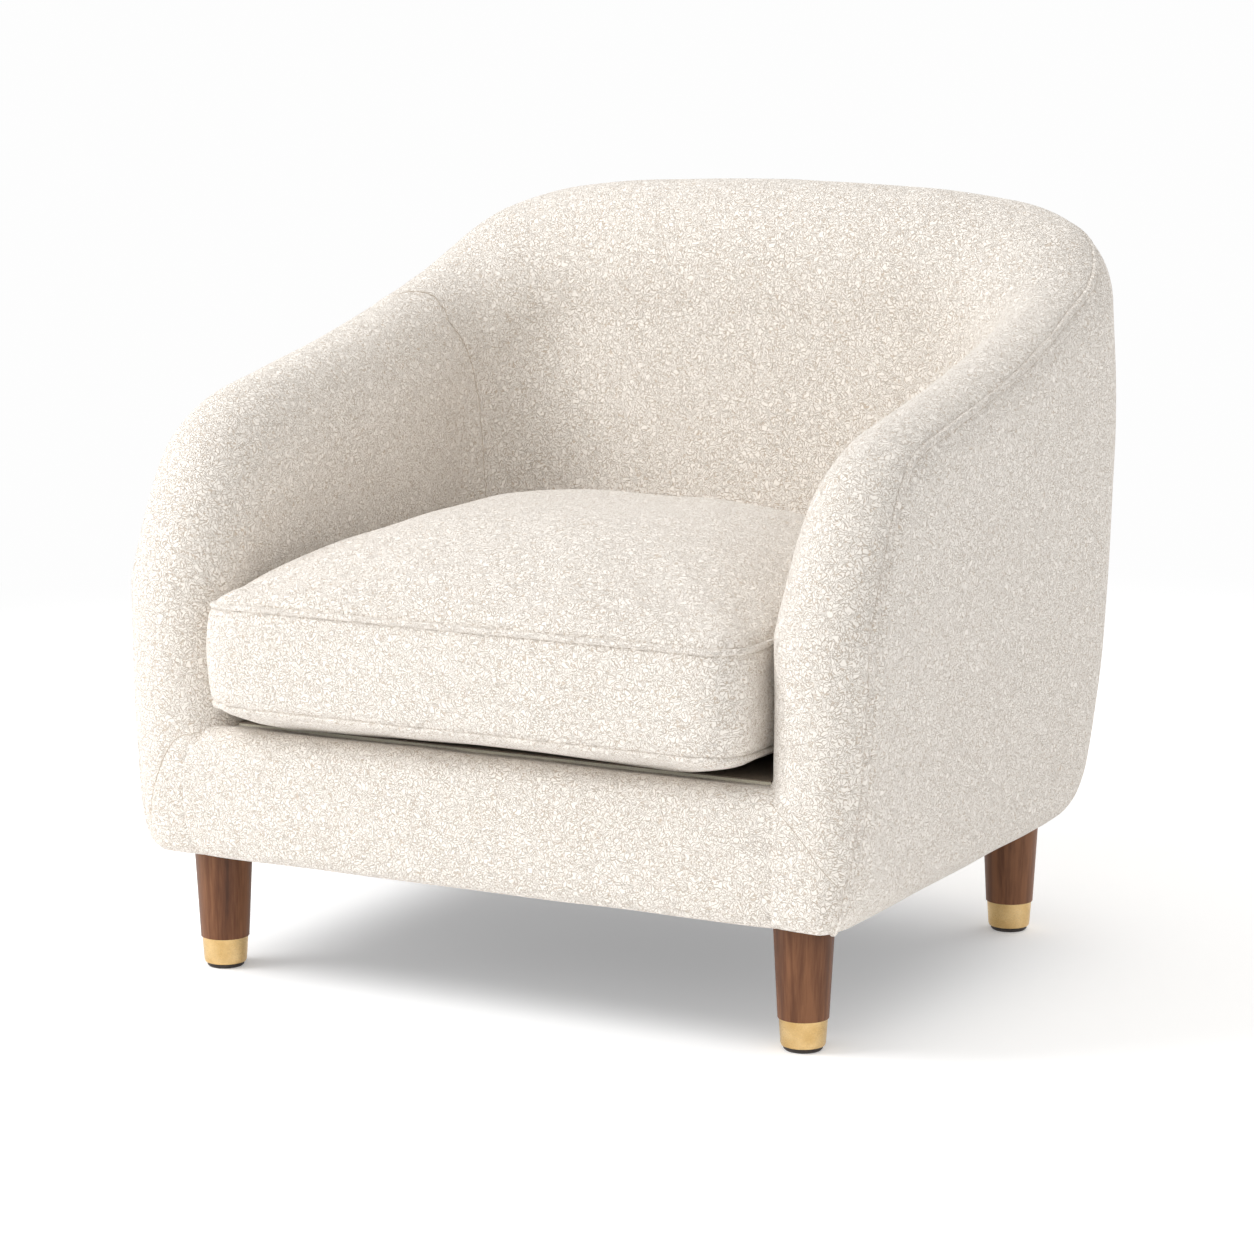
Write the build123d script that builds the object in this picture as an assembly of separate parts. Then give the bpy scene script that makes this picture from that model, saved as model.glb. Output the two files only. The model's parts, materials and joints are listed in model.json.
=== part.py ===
from build123d import *
import math
import os

os.makedirs("parts", exist_ok=True)

# Upholstered tub armchair. Millimetres, +Z up, +X to the sitter's left, -Y is the front.
# Everything is drawn about the centre of the four legs on the floor, then moved by ORIGIN_SHIFT
# so that the origin lies on the floor under the middle of the chair's outline.

ORIGIN_SHIFT = -50.7

# ---- Driving dimensions -------------------------------------------------------------------
LEG_X = 320.0                 # half the spacing of the legs, side to side
LEG_Y = 250.0                 # half the spacing of the legs, front to back
CLEARANCE = 123.0             # floor to the underside of the upholstery
GLIDE_HEIGHT = 4.0
GLIDE_RADIUS = 18.5
FERRULE_TOP = 31.0
FERRULE_RADIUS_TOP = 23.0
FERRULE_RADIUS_FOOT = 21.3
FERRULE_WALL = 1.2
LEG_RADIUS_TOP = 29.3
LEG_RADIUS_FOOT = 24.2
BLOCK_BOTTOM = 128.0          # the legs stop against the corner blocks here

SIDE_X = 404.0                # greatest half width of the tub
NOSE_Y = -309.0               # foremost line of the arms
INNER_X = 293.0               # inner face of the arms
BACK_Y = 331.0                # outer face of the back at the clearance height
BACK_LEAN = 0.172             # rise in y per unit height, outer and inner face
INNER_BACK_Y = 264.0          # inner face of the back at INNER_BACK_Z
INNER_BACK_Z = 476.0
INNER_CORNER = 100.0
RIDGE_X = 354.0               # highest line of the arms
RIDGE_Y = 380.0               # highest line of the back
RIDGE_CORNER = 100.0
CROWN_OUT = (50.0, 45.0)      # width and height of the outer quarter of the rounded top
CROWN_IN = (61.0, 62.0)       # and of its inner quarter, at the front of an arm
ARM_SOFTER = 45.0             # added height of the inner quarter along the arms
BACK_SOFTER = 30.0            # and again across the back
NOSE_OUT = 45.0               # depth of the rounded front edge, outside and inside
NOSE_IN = 60.0
ARM_START = -249.0            # behind this plane the arm's section no longer narrows
SEAM_Y = 150.0                # arm panels meet back panels in this plane
AXIS_X = 193.0                # upright axis that the corner sections turn about

GLIDE_PIN_RADIUS = 2.0
GLIDE_PIN_LENGTH = 18.0
FERRULE_FLOOR = 1.2
BOLT_RADIUS = 4.0
BOLT_IN_LEG = 45.0
BLOCK = 30.0                  # thickness of the corner blocks
BLOCK_WIDE = 64.0
NUT_RADIUS = 5.5
NUT_LENGTH = 12.0
NUT_FLANGE = 11.0
NUT_FLANGE_THICK = 1.6

COVER = 3.0                   # bouclé with its backing
SEAM_GAP = 0.4
LAYER_GAP = 0.5               # between a cover and the padding under it
INSIDE_FOAM = 33.0            # depth of the padding's back under the cover's face
OUTSIDE_PAD = 11.0
WELT_RADIUS = 3.5
WELT_LAP = 1.0                # the covers stop this many degrees short of the welt
PAD_LAP = 4.0                 # and the outer padding this many

RAIL_BOTTOM = 158.0
RAIL_TOP = 228.0
RAIL = 28.0                   # thickness of the seat rails
RAIL_OUT_X = 330.0
RAIL_OUT_Y = 290.0
DECK_TOP = 253.0
DECK_BOTTOM = 238.0
DECK_CLOTH = 1.2
DECK_FRONT = -262.0
PANEL_DROP = 74.0             # top of the arm panels below the ridge
PLY = 18.0
FORMER = 12.0
FORMER_RADIUS = 85.0
FORMER_X = 345.0
FORMER_Y = 229.0
FORMER_BOTTOM = 240.0
FORMER_TOP = 560.0
POST = 26.0
POST_X = 200.0
POST_WIDE = 60.0
SPRING_WIRE = 3.6
SPRING_WIDE = 50.0
SPRING_PITCH = 24.0
SPRING_RUN = 540.0
SPRING_TAIL = 18.0
SPRING_Z = 232.8
SPRING_PLACES = (-210.0, -105.0, 0.0, 105.0, 210.0)
ARM_POST = 44.0
ARM_POST_Y = (-244.0, -204.0)
ARM_POST_TOP = 470.0
CROSS_RAIL = 25.0             # thickness of the two rails across the back
CREST_Z = (640.0, 690.0)
LOWER_Z = (250.0, 300.0)
STRAP = 2.0
STRAP_WIDE = 55.0
STRAP_LEVELS = (330.0, 410.0, 490.0, 570.0)
HAND_HOLE = (230.0, 150.0, 60.0)   # length, height and corner radius
HAND_HOLE_AT = (10.0, 390.0)
BLOCK_CHAMFER = 20.0
FRONT_FACE_Y = -306.0         # front of the upholstered front rail

CUSHION_X = 288.5             # half width of the loose cushion
CUSHION_FRONT = -329.0
CUSHION_BACK = 221.0
CUSHION_BOTTOM = 253.8
WELT_LOW = 277.0
WELT_HIGH = 381.0
CROWN_TOP = 446.0
CUSHION_CORNER_FRONT = 40.0
CUSHION_CORNER_BACK = 92.0
ZIP_HALF = 185.0

# Height of the ridge against the distance along it from the front of an arm.
RIDGE = [(0, 392), (12, 424), (28, 462), (54, 508), (82, 540), (143, 570), (215, 584),
         (366, 614), (487, 645), (570, 673), (667, 723), (746, 745), (841, 755), (1000, 760)]
# Half width of the outer face against height: tucked under at the bottom, nearly upright above.
SIDE_BULGE = [(123, -34), (133, -22), (150, -13), (180, -7), (230, -3), (300, 0), (420, 1),
              (520, 0), (620, -4), (760, -12)]
BACK_TUCK = [(123, -30), (133, -17), (150, -8), (180, -2), (230, 0), (760, 0)]
OUTER_CORNER = [(123, 84), (150, 90), (300, 94), (450, 105), (560, 118), (620, 132),
                (700, 150), (760, 160)]
# Heights at which the sections of the walls have their corners, and steps over the crown.
INSIDE_LEVELS = (430, 380, 330, 285)
OUTSIDE_LEVELS = (133, 150, 180, 230, 300, 420)
CROWN_STEPS = 9
EDGE_STEPS = 4
# Angle on the rounded top where the outer welt runs: along an arm against y, and round a corner
# against the turn in degrees.
WELT_ON_ARM = [(-249, 25), (-215, 31), (-180, 37), (70, 37), (150, 41)]
WELT_ON_CORNER = [(0, 41), (35, 50), (60, 53), (90, 50)]
WELT_ON_BACK = 50.0
# The welt's way up the front edge of an arm.
WELT_FRONT = [(370, -290, 127), (383, -294, 156), (391, -290, 195), (395, -286, 242),
              (399, -284, 307), (401, -281, 375), (401, -270, 418)]


# ---- Small helpers ------------------------------------------------------------------------
def curve(points, at):
    """Straight interpolation in a short table, held level beyond its ends."""
    if at <= points[0][0]:
        return points[0][1]
    for (x0, y0), (x1, y1) in zip(points, points[1:]):
        if at <= x1:
            return y0 + (y1 - y0) * (at - x0) / (x1 - x0)
    return points[-1][1]


def side_x(z):
    return SIDE_X + curve(SIDE_BULGE, z)


def back_y(z):
    return BACK_Y + BACK_LEAN * (z - CLEARANCE) + curve(BACK_TUCK, z)


def inner_back_y(z):
    return INNER_BACK_Y + BACK_LEAN * (z - INNER_BACK_Z)


def reach(half_x, far_y, corner, angle):
    """Distance from the corner axis to a rounded outline, in the direction of angle."""
    ux = math.cos(angle)
    uy = math.sin(angle)
    cx = half_x - corner - AXIS_X
    cy = far_y - corner - SEAM_Y
    if ux > 1e-9 and (half_x - AXIS_X) / ux * uy <= cy:
        return (half_x - AXIS_X) / ux
    if uy > 1e-9 and (far_y - SEAM_Y) / uy * ux <= cx:
        return (far_y - SEAM_Y) / uy
    along = ux * cx + uy * cy
    return along + math.sqrt(along ** 2 - cx ** 2 - cy ** 2 + corner ** 2)


def ridge_height(x, y):
    """Height of the ridge at a point of its plan: straight, round the corner, then across."""
    turn_y = RIDGE_Y - RIDGE_CORNER
    turn_x = RIDGE_X - RIDGE_CORNER
    if y <= turn_y:
        return curve(RIDGE, y - NOSE_Y)
    if x <= turn_x:
        run = turn_y - NOSE_Y + RIDGE_CORNER * math.pi / 2
        return curve(RIDGE, run + turn_x - x)
    return curve(RIDGE, turn_y - NOSE_Y + RIDGE_CORNER * math.atan2(y - turn_y, x - turn_x))


def drop_in(y):
    """Height of the crown's inner quarter along an arm."""
    share = min(1.0, max(0.0, (y - ARM_START) / 150))
    return CROWN_IN[1] + ARM_SOFTER * share


def box(x0, x1, y0, y1, z0, z1):
    middle = Pos((x0 + x1) / 2, (y0 + y1) / 2, (z0 + z1) / 2)
    return middle * Box(x1 - x0, y1 - y0, z1 - z0)


def flip(part):
    return mirror(part, Plane.YZ)


# ---- Wall sections ------------------------------------------------------------------------
class Station:
    """One upright plane across the wall: where it stands and the wall's limits in it."""

    def __init__(self, place, outer, inner, ridge, height, drop, welt):
        self.place = place            # maps (distance outwards, z) to a point
        self.outer = outer            # outer face's distance at height z
        self.inner = inner            # inner face's distance at height z
        self.ridge = ridge            # distance of the ridge
        self.height = height          # height of the ridge
        self.drop = drop              # height of the inner quarter of the crown
        self.welt = welt              # angle of the outer welt on the crown


def arm_station(y):
    depth = y - NOSE_Y
    out_left = max(0.0, 1 - depth / NOSE_OUT)
    in_left = max(0.0, 1 - depth / NOSE_IN)
    nose = (math.sqrt(1 - out_left ** 2), math.sqrt(1 - in_left ** 2))
    return Station(
        lambda e, z: (e, y, z),
        lambda z: RIDGE_X + (side_x(z) - RIDGE_X) * nose[0],
        lambda z: RIDGE_X - (RIDGE_X - INNER_X) * nose[1],
        RIDGE_X,
        ridge_height(RIDGE_X, y),
        drop_in(y),
        curve(WELT_ON_ARM, y),
    )


def corner_station(degrees):
    angle = math.radians(degrees)
    ux = math.cos(angle)
    uy = math.sin(angle)
    ridge = reach(RIDGE_X, RIDGE_Y, RIDGE_CORNER, angle)
    height = ridge_height(AXIS_X + ridge * ux, SEAM_Y + ridge * uy)
    return Station(
        lambda e, z: (AXIS_X + e * ux, SEAM_Y + e * uy, z),
        lambda z: reach(side_x(z), back_y(z), curve(OUTER_CORNER, z), angle),
        lambda z: reach(INNER_X, inner_back_y(z), INNER_CORNER, angle),
        ridge,
        height,
        CROWN_IN[1] + ARM_SOFTER + BACK_SOFTER * degrees / 90,
        curve(WELT_ON_CORNER, degrees),
    )


def back_station(x):
    return Station(
        lambda e, z: (x, e, z),
        back_y,
        inner_back_y,
        RIDGE_Y,
        ridge_height(abs(x), RIDGE_Y),
        CROWN_IN[1] + ARM_SOFTER + BACK_SOFTER,
        WELT_ON_BACK,
    )


def crown_point(station, degrees, inset):
    """Point of the rounded top: 0 is its outer foot, 90 the ridge, 180 its inner foot."""
    z_out = station.height - CROWN_OUT[1]
    z_in = station.height - station.drop
    top = station.height - inset
    lift = math.sin(math.radians(degrees))
    swing = abs(math.cos(math.radians(degrees)))
    if degrees <= 90:
        foot = station.outer(z_out) - inset
        return (station.ridge + (foot - station.ridge) * swing, z_out + (top - z_out) * lift)
    foot = station.inner(z_in) + inset
    return (station.ridge + (foot - station.ridge) * swing, z_in + (top - z_in) * lift)


def inside_line(station, inset, bottom):
    """Points over the crown, from just inside the welt, and down the inner face."""
    start = station.welt + WELT_LAP
    crown = [crown_point(station, start + (180 - start) * k / CROWN_STEPS, inset)
             for k in range(CROWN_STEPS + 1)]
    return crown + [(station.inner(z) + inset, z) for z in (*INSIDE_LEVELS, bottom)]


def outside_line(station, inset, bottom, lap):
    """Points up the outer face and over the crown's edge, ending short of the welt."""
    stop = station.welt - lap
    z_out = station.height - CROWN_OUT[1]
    heights = (bottom, *OUTSIDE_LEVELS, (OUTSIDE_LEVELS[-1] + z_out) / 2)
    face = [(station.outer(z) - inset, z) for z in heights]
    return face + [crown_point(station, stop * k / EDGE_STEPS, inset)
                   for k in range(EDGE_STEPS + 1)]


def layer_section(station, near, deep):
    """Corners of the closed section between a layer's face and its underside."""
    return [station.place(*p) for p in near + deep[::-1]]


def facet(*corners):
    return Face(Wire.make_polygon(corners))


def skin(sections, near_corners):
    """Solid through closed sections that have the same number of corners, in the same order.

    After the first near_corners the facets are cut along their other diagonal, because the
    underside runs back: a layer and the one beneath it then have matching facets.
    """
    faces = [facet(*sections[0]), facet(*sections[-1])]
    for these, following in zip(sections, sections[1:]):
        quads = zip(these, these[1:] + these[:1], following[1:] + following[:1], following)
        for k, (a, b, c, d) in enumerate(quads):
            if k < near_corners:
                faces.append(facet(a, b, c))
                faces.append(facet(a, c, d))
            else:
                faces.append(facet(a, b, d))
                faces.append(facet(b, c, d))
    return Solid(Shell(faces))


def layer_skin(sections):
    return skin(sections, len(sections[0]) // 2)


def inside_sheet(station, outer_inset, inner_inset, bottom):
    """Section of a layer that runs over the crown and down the inner face."""
    return layer_section(station, inside_line(station, outer_inset, bottom),
                         inside_line(station, inner_inset, bottom))


def outside_sheet(station, outer_inset, inner_inset, bottom, lap=WELT_LAP):
    """Section of a layer on the outer face."""
    return layer_section(station, outside_line(station, outer_inset, bottom, lap),
                         outside_line(station, inner_inset, bottom, lap))


def pad_sheet(station, outer_inset, inner_inset, bottom):
    return outside_sheet(station, outer_inset, inner_inset, bottom, PAD_LAP)


def arm_layer(sheet, outer_inset, inner_inset, bottom):
    stations = [arm_station(y) for y in (ARM_START, -238, -227, -212, -196, -166, -94, 57, 105,
                                         SEAM_Y - SEAM_GAP)]
    return layer_skin([sheet(s, outer_inset, inner_inset, bottom) for s in stations])


def back_layer(sheet, outer_inset, inner_inset, bottom):
    """Both corners and the back between them, as one solid."""
    angles = (1, 12, 23, 34, 45, 56, 67, 78)
    turn = [corner_station(d) for d in angles]
    across = [back_station(x) for x in (AXIS_X, 0, -AXIS_X)]
    far = [back_turn(d) for d in reversed(angles)]
    return layer_skin([sheet(s, outer_inset, inner_inset, bottom) for s in turn + across + far])


def back_turn(degrees):
    """The station at the other corner, mirrored."""
    right = corner_station(degrees)

    def place(e, z):
        x, y, height = right.place(e, z)
        return (-x, y, height)

    return Station(place, right.outer, right.inner, right.ridge, right.height, right.drop,
                   right.welt)


# ---- Arm fronts ---------------------------------------------------------------------------
def nose_front(z):
    """Foremost y of an arm at height z."""
    for (s0, h0), (s1, h1) in zip(RIDGE, RIDGE[1:]):
        if z <= h0:
            return NOSE_Y + s0
        if z <= h1:
            return NOSE_Y + s0 + (s1 - s0) * (z - h0) / (h1 - h0)
    return ARM_START


def nose_width(y, z, side):
    """Distance from the ridge line to the face, outwards (side 1) or inwards (side -1)."""
    depth = NOSE_OUT if side > 0 else NOSE_IN
    drop = CROWN_OUT[1] if side > 0 else drop_in(y)
    full = side_x(z) - RIDGE_X if side > 0 else RIDGE_X - INNER_X
    left = min(1.0, max(0.0, 1 - (y - NOSE_Y) / depth))
    rise = (z - (ridge_height(RIDGE_X, y) - drop)) / drop
    rise = min(1.0, max(0.0, rise))
    return full * math.sqrt(max(0.0, 1 - left ** 2)) * math.sqrt(max(0.0, 1 - rise ** 2))


def nose_curve(z, inset):
    """Plan of the arm front at height z, from its outer end round to its inner end."""
    front = nose_front(z)
    steps = 8
    outline = []
    for side in (1, -1):
        half = []
        for k in range(steps + 1):
            y = front + (ARM_START - front) * (1 - math.cos(math.pi / 2 * k / steps))
            half.append((RIDGE_X + side * nose_width(y, z, side), y))
        outline += reversed(half) if side > 0 else half[1:]
    if not inset:
        return outline
    moved = []
    for k, (x, y) in enumerate(outline):
        x0, y0 = outline[max(k - 1, 0)]
        x1, y1 = outline[min(k + 1, len(outline) - 1)]
        run = math.hypot(x1 - x0, y1 - y0)
        keep_y = k in (0, len(outline) - 1)
        moved.append((x + inset * (y1 - y0) / run, y if keep_y else y - inset * (x1 - x0) / run))
    return moved


def nose_ring(z, outer_inset, inner_inset):
    outline = nose_curve(z, outer_inset) + nose_curve(z, inner_inset)[::-1]
    return [(x, y, z) for x, y in outline]


def nose_slab(z, inset):
    """Full plan of the arm front at height z."""
    return [(x, y, z) for x, y in nose_curve(z, inset)]


NOSE_LEVELS = (CLEARANCE, 128, 135, 150, 180, 230, 310, 392, 412, 430, 446, 462, 474, 485)


# ---- Legs ---------------------------------------------------------------------------------
def leg_places():
    return {
        "front_right": (LEG_X, -LEG_Y),
        "front_left": (-LEG_X, -LEG_Y),
        "rear_right": (LEG_X, LEG_Y),
        "rear_left": (-LEG_X, LEG_Y),
    }


def turned(profile):
    """Solid of revolution about Z from (radius, z) points."""
    face = make_face(Plane.XZ * Polyline(*profile, close=True))
    return revolve(face, Axis.Z)


def leg_glide():
    disc = turned([(0, 0), (GLIDE_RADIUS - 1.5, 0), (GLIDE_RADIUS, 1.5),
                   (GLIDE_RADIUS, GLIDE_HEIGHT), (0, GLIDE_HEIGHT)])
    pin = Pos(0, 0, GLIDE_HEIGHT + GLIDE_PIN_LENGTH / 2) * Cylinder(GLIDE_PIN_RADIUS,
                                                                   GLIDE_PIN_LENGTH)
    return disc + pin


def leg_ferrule():
    foot = FERRULE_RADIUS_FOOT
    outer = [(GLIDE_RADIUS - 5, GLIDE_HEIGHT), (foot - 2.5, GLIDE_HEIGHT),
             (foot - 0.7, GLIDE_HEIGHT + 0.8), (foot, GLIDE_HEIGHT + 2.8),
             (FERRULE_RADIUS_TOP, FERRULE_TOP)]
    inner = [(FERRULE_RADIUS_TOP - FERRULE_WALL, FERRULE_TOP),
             (foot - FERRULE_WALL, GLIDE_HEIGHT + FERRULE_FLOOR),
             (GLIDE_RADIUS - 5, GLIDE_HEIGHT + FERRULE_FLOOR)]
    return turned(outer + inner)


def leg_post():
    """Tapered leg with a turned-down foot inside the ferrule."""
    foot_z = GLIDE_HEIGHT + FERRULE_FLOOR
    tenon_foot = FERRULE_RADIUS_FOOT - FERRULE_WALL
    tenon_top = FERRULE_RADIUS_TOP - FERRULE_WALL
    body = turned([(0, foot_z), (tenon_foot, foot_z), (tenon_top, FERRULE_TOP),
                   (LEG_RADIUS_FOOT, FERRULE_TOP), (LEG_RADIUS_FOOT, FERRULE_TOP + 1.5),
                   (LEG_RADIUS_TOP, BLOCK_BOTTOM), (0, BLOCK_BOTTOM)])
    pin = Pos(0, 0, GLIDE_HEIGHT + GLIDE_PIN_LENGTH / 2) * Cylinder(GLIDE_PIN_RADIUS,
                                                                   GLIDE_PIN_LENGTH)
    bolt = Pos(0, 0, BLOCK_BOTTOM - BOLT_IN_LEG / 2) * Cylinder(BOLT_RADIUS, BOLT_IN_LEG)
    return body - pin - bolt


def hanger_bolt():
    length = BOLT_IN_LEG + BLOCK
    return Pos(0, 0, BLOCK_BOTTOM - BOLT_IN_LEG + length / 2) * Cylinder(BOLT_RADIUS, length)


def tee_nut():
    """Barrel in the block with its flange let into the block's top."""
    barrel = Pos(0, 0, BLOCK_BOTTOM + BLOCK - NUT_LENGTH / 2) * Cylinder(NUT_RADIUS, NUT_LENGTH)
    flange = Pos(0, 0, BLOCK_BOTTOM + BLOCK - NUT_FLANGE_THICK / 2) * Cylinder(NUT_FLANGE,
                                                                           NUT_FLANGE_THICK)
    hole = Pos(0, 0, BLOCK_BOTTOM + BLOCK) * Cylinder(BOLT_RADIUS, 4 * NUT_LENGTH)
    return barrel + flange - hole


def corner_block():
    """Eight-sided hardwood pad under the rails, bored for the tee nut."""
    plan = chamfer(Rectangle(BLOCK_WIDE, BLOCK_WIDE).vertices(), BLOCK_CHAMFER)
    pad = Pos(0, 0, BLOCK_BOTTOM) * extrude(plan, BLOCK)
    bore = Pos(0, 0, BLOCK_BOTTOM + BLOCK - NUT_LENGTH / 2) * Cylinder(NUT_RADIUS, NUT_LENGTH)
    bolt_hole = Pos(0, 0, BLOCK_BOTTOM + BLOCK / 2) * Cylinder(BOLT_RADIUS + 0.5, BLOCK)
    seat = Pos(0, 0, BLOCK_BOTTOM + BLOCK - NUT_FLANGE_THICK / 2) * Cylinder(NUT_FLANGE,
                                                                         NUT_FLANGE_THICK)
    return pad - bore - bolt_hole - seat


def make_legs():
    made = {}
    for corner, (x, y) in leg_places().items():
        made["leg_" + corner] = Pos(x, y, 0) * leg_post()
        made["ferrule_" + corner] = Pos(x, y, 0) * leg_ferrule()
    for name, make in (("leg_glides", leg_glide), ("hanger_bolts", hanger_bolt),
                       ("tee_nuts", tee_nut), ("corner_blocks", corner_block)):
        made[name] = Compound([Pos(x, y, 0) * make() for x, y in leg_places().values()])
    return made


# ---- Timber frame -------------------------------------------------------------------------
def slanted(x0, x1, front, thick, z0, z1):
    """Board across the back that leans with it; front is its front face's y at RAIL_BOTTOM."""
    y0 = front + BACK_LEAN * (z0 - RAIL_BOTTOM)
    y1 = front + BACK_LEAN * (z1 - RAIL_BOTTOM)
    side = Plane.YZ * Polyline((y0, z0), (y0 + thick, z0), (y1 + thick, z1), (y1, z1), close=True)
    return Pos(x0, 0, 0) * extrude(make_face(side), x1 - x0, dir=(1, 0, 0))


def arm_panel():
    """Plywood side, its top running below the crown, with a rounded hand hole."""
    front = ARM_POST_Y[1]
    stops = (front + 4, -166, -94, -20, 57, 137, FORMER_Y)
    top = [(y, ridge_height(RIDGE_X, y) - PANEL_DROP) for y in stops]
    outline = [(FORMER_Y, RAIL_BOTTOM), (front, RAIL_BOTTOM), (front, top[0][1] - 12)] + top
    face = make_face(Plane.YZ * Polyline(*outline, close=True))
    panel = Pos(RAIL_OUT_X, 0, 0) * extrude(face, PLY, dir=(1, 0, 0))
    hole = Plane.YZ * (Pos(*HAND_HOLE_AT) * RectangleRounded(*HAND_HOLE))
    return panel - Pos(RAIL_OUT_X - 1, 0, 0) * extrude(hole, PLY + 2, dir=(1, 0, 0))


def corner_former():
    """Bent plywood that carries the padding round from the arm panel to the back post."""
    ring = Circle(FORMER_RADIUS) - Circle(FORMER_RADIUS - FORMER)
    quarter = ring & Pos(FORMER_RADIUS, FORMER_RADIUS) * Rectangle(2 * FORMER_RADIUS,
                                                                  2 * FORMER_RADIUS)
    x = FORMER_X - FORMER_RADIUS
    return Pos(x, FORMER_Y, FORMER_BOTTOM) * extrude(quarter, FORMER_TOP - FORMER_BOTTOM)


def make_frame():
    inner_x = RAIL_OUT_X - RAIL
    inner_y = RAIL_OUT_Y - RAIL
    post_front = RAIL_OUT_Y
    side = box(inner_x, RAIL_OUT_X, -inner_y, inner_y, RAIL_BOTTOM, RAIL_TOP)
    post_end = POST_X + POST_WIDE
    strap_end = post_end - 15
    arm_post = box(RAIL_OUT_X, RAIL_OUT_X + ARM_POST, *ARM_POST_Y, RAIL_BOTTOM, ARM_POST_TOP)
    back_post = slanted(POST_X, post_end, post_front, POST, RAIL_BOTTOM, CREST_Z[1] + 10)
    crest = slanted(-post_end, post_end, post_front - CROSS_RAIL, CROSS_RAIL, *CREST_Z)
    lower = slanted(-post_end, post_end, post_front - CROSS_RAIL, CROSS_RAIL, *LOWER_Z)
    straps = [slanted(-strap_end, strap_end, post_front - STRAP, STRAP, z, z + STRAP_WIDE)
              for z in STRAP_LEVELS]
    return {
        "front_rail": box(-RAIL_OUT_X, RAIL_OUT_X, -RAIL_OUT_Y, -inner_y, RAIL_BOTTOM, RAIL_TOP),
        "rear_rail": box(-RAIL_OUT_X, RAIL_OUT_X, inner_y, RAIL_OUT_Y, RAIL_BOTTOM, RAIL_TOP),
        "side_rail_right": side,
        "side_rail_left": flip(side),
        "arm_post_right": arm_post,
        "arm_post_left": flip(arm_post),
        "arm_panel_right": arm_panel(),
        "arm_panel_left": flip(arm_panel()),
        "corner_former_right": corner_former(),
        "corner_former_left": flip(corner_former()),
        "back_post_right": back_post,
        "back_post_left": flip(back_post),
        "back_crest_rail": crest,
        "back_lower_rail": lower,
        "back_webbing": Compound(straps),
    }


# ---- Seat support -------------------------------------------------------------------------
def spring_path():
    """Zigzag along +Y in the XY plane, with a straight tail at each end."""
    half = SPRING_WIDE / 2
    points = [(0, -SPRING_RUN / 2)]
    y = -SPRING_RUN / 2 + SPRING_TAIL
    points.append((0, y))
    turns = int((SPRING_RUN - 2 * SPRING_TAIL) / SPRING_PITCH)
    for k in range(turns):
        x = half if k % 2 == 0 else -half
        points.append((x, y))
        points.append((x, y + SPRING_PITCH))
        y += SPRING_PITCH
    points.append((0, y))
    points.append((0, SPRING_RUN / 2))
    return points


def seat_spring():
    path = FilletPolyline(*spring_path(), radius=SPRING_PITCH / 2 - 0.5)
    start = Plane(path @ 0, z_dir=path % 0)
    return sweep(start * RegularPolygon(SPRING_WIRE / 2, 8), path=path)


def spring_clip():
    """Bent strip nailed to a rail, hooked over the end of a spring."""
    base = box(-8, 8, 2, 22, 0, 1.2)
    hook = Pos(0, 0, SPRING_Z - RAIL_TOP) * extrude(Plane.XZ * Circle(4.6), 6, both=True)
    eye = Pos(0, 0, SPRING_Z - RAIL_TOP) * extrude(Plane.XZ * Circle(SPRING_WIRE / 2 + 0.05), 8,
                                                   both=True)
    above = box(-10, 10, -10, 30, 0, 20)
    return ((base + hook) & above) - eye


def rear_rounded(half_x, front, back, corner):
    sheet = Rectangle(2 * half_x, back - front)
    rear = sheet.vertices().group_by(Axis.Y)[-1]
    return Pos(0, (front + back) / 2) * fillet(rear, corner)


def make_seat_support():
    springs = [Pos(x, 0, SPRING_Z) * seat_spring() for x in SPRING_PLACES]
    rail_y = RAIL_OUT_Y - RAIL
    clips = []
    for x in SPRING_PLACES:
        front = Pos(x, -rail_y - 6, RAIL_TOP) * Rot(0, 0, 180) * spring_clip()
        clips.append(front)
        clips.append(Pos(x, rail_y + 6, RAIL_TOP) * spring_clip())
    back = inner_back_y(DECK_BOTTOM) - 3
    deck = rear_rounded(INNER_X - 2, DECK_FRONT, back, INNER_CORNER - 4)
    dust = rear_rounded(side_x(CLEARANCE) - 12, -RAIL_OUT_Y + 9, back_y(CLEARANCE) - 8, 84)
    for x, y in leg_places().values():
        dust = dust - Pos(x, y) * Circle(LEG_RADIUS_TOP + 1)
    return {
        "seat_springs": Compound(springs),
        "spring_clips": Compound(clips),
        "deck_pad": Pos(0, 0, DECK_BOTTOM) * extrude(deck, DECK_TOP - DECK_CLOTH - DECK_BOTTOM),
        "deck_cover": Pos(0, 0, DECK_TOP - DECK_CLOTH) * extrude(deck, DECK_CLOTH),
        "dust_cover": Pos(0, 0, CLEARANCE + 1) * extrude(dust, 1.2),
    }


# ---- Upholstery on the frame --------------------------------------------------------------
def front_profile(inset):
    """Side view of the front rail's padding: bottom, front face, rounded top, deck side."""
    front = FRONT_FACE_Y + inset
    low = CLEARANCE + inset
    high = DECK_TOP - inset
    turn = 22 - inset
    rear = DECK_FRONT - SEAM_GAP - inset
    line = Polyline((rear, low), (front + 6, low), (front, low + 10), (front, high - turn))
    arc = RadiusArc(line @ 1, (front + turn, high), turn)
    if (arc @ 0.5).X > front + turn / 2:
        arc = RadiusArc(line @ 1, (front + turn, high), -turn)
    rest = Polyline(arc @ 1, (rear, high), (rear, low))
    return make_face(Plane.YZ * (line + arc + rest))


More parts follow.
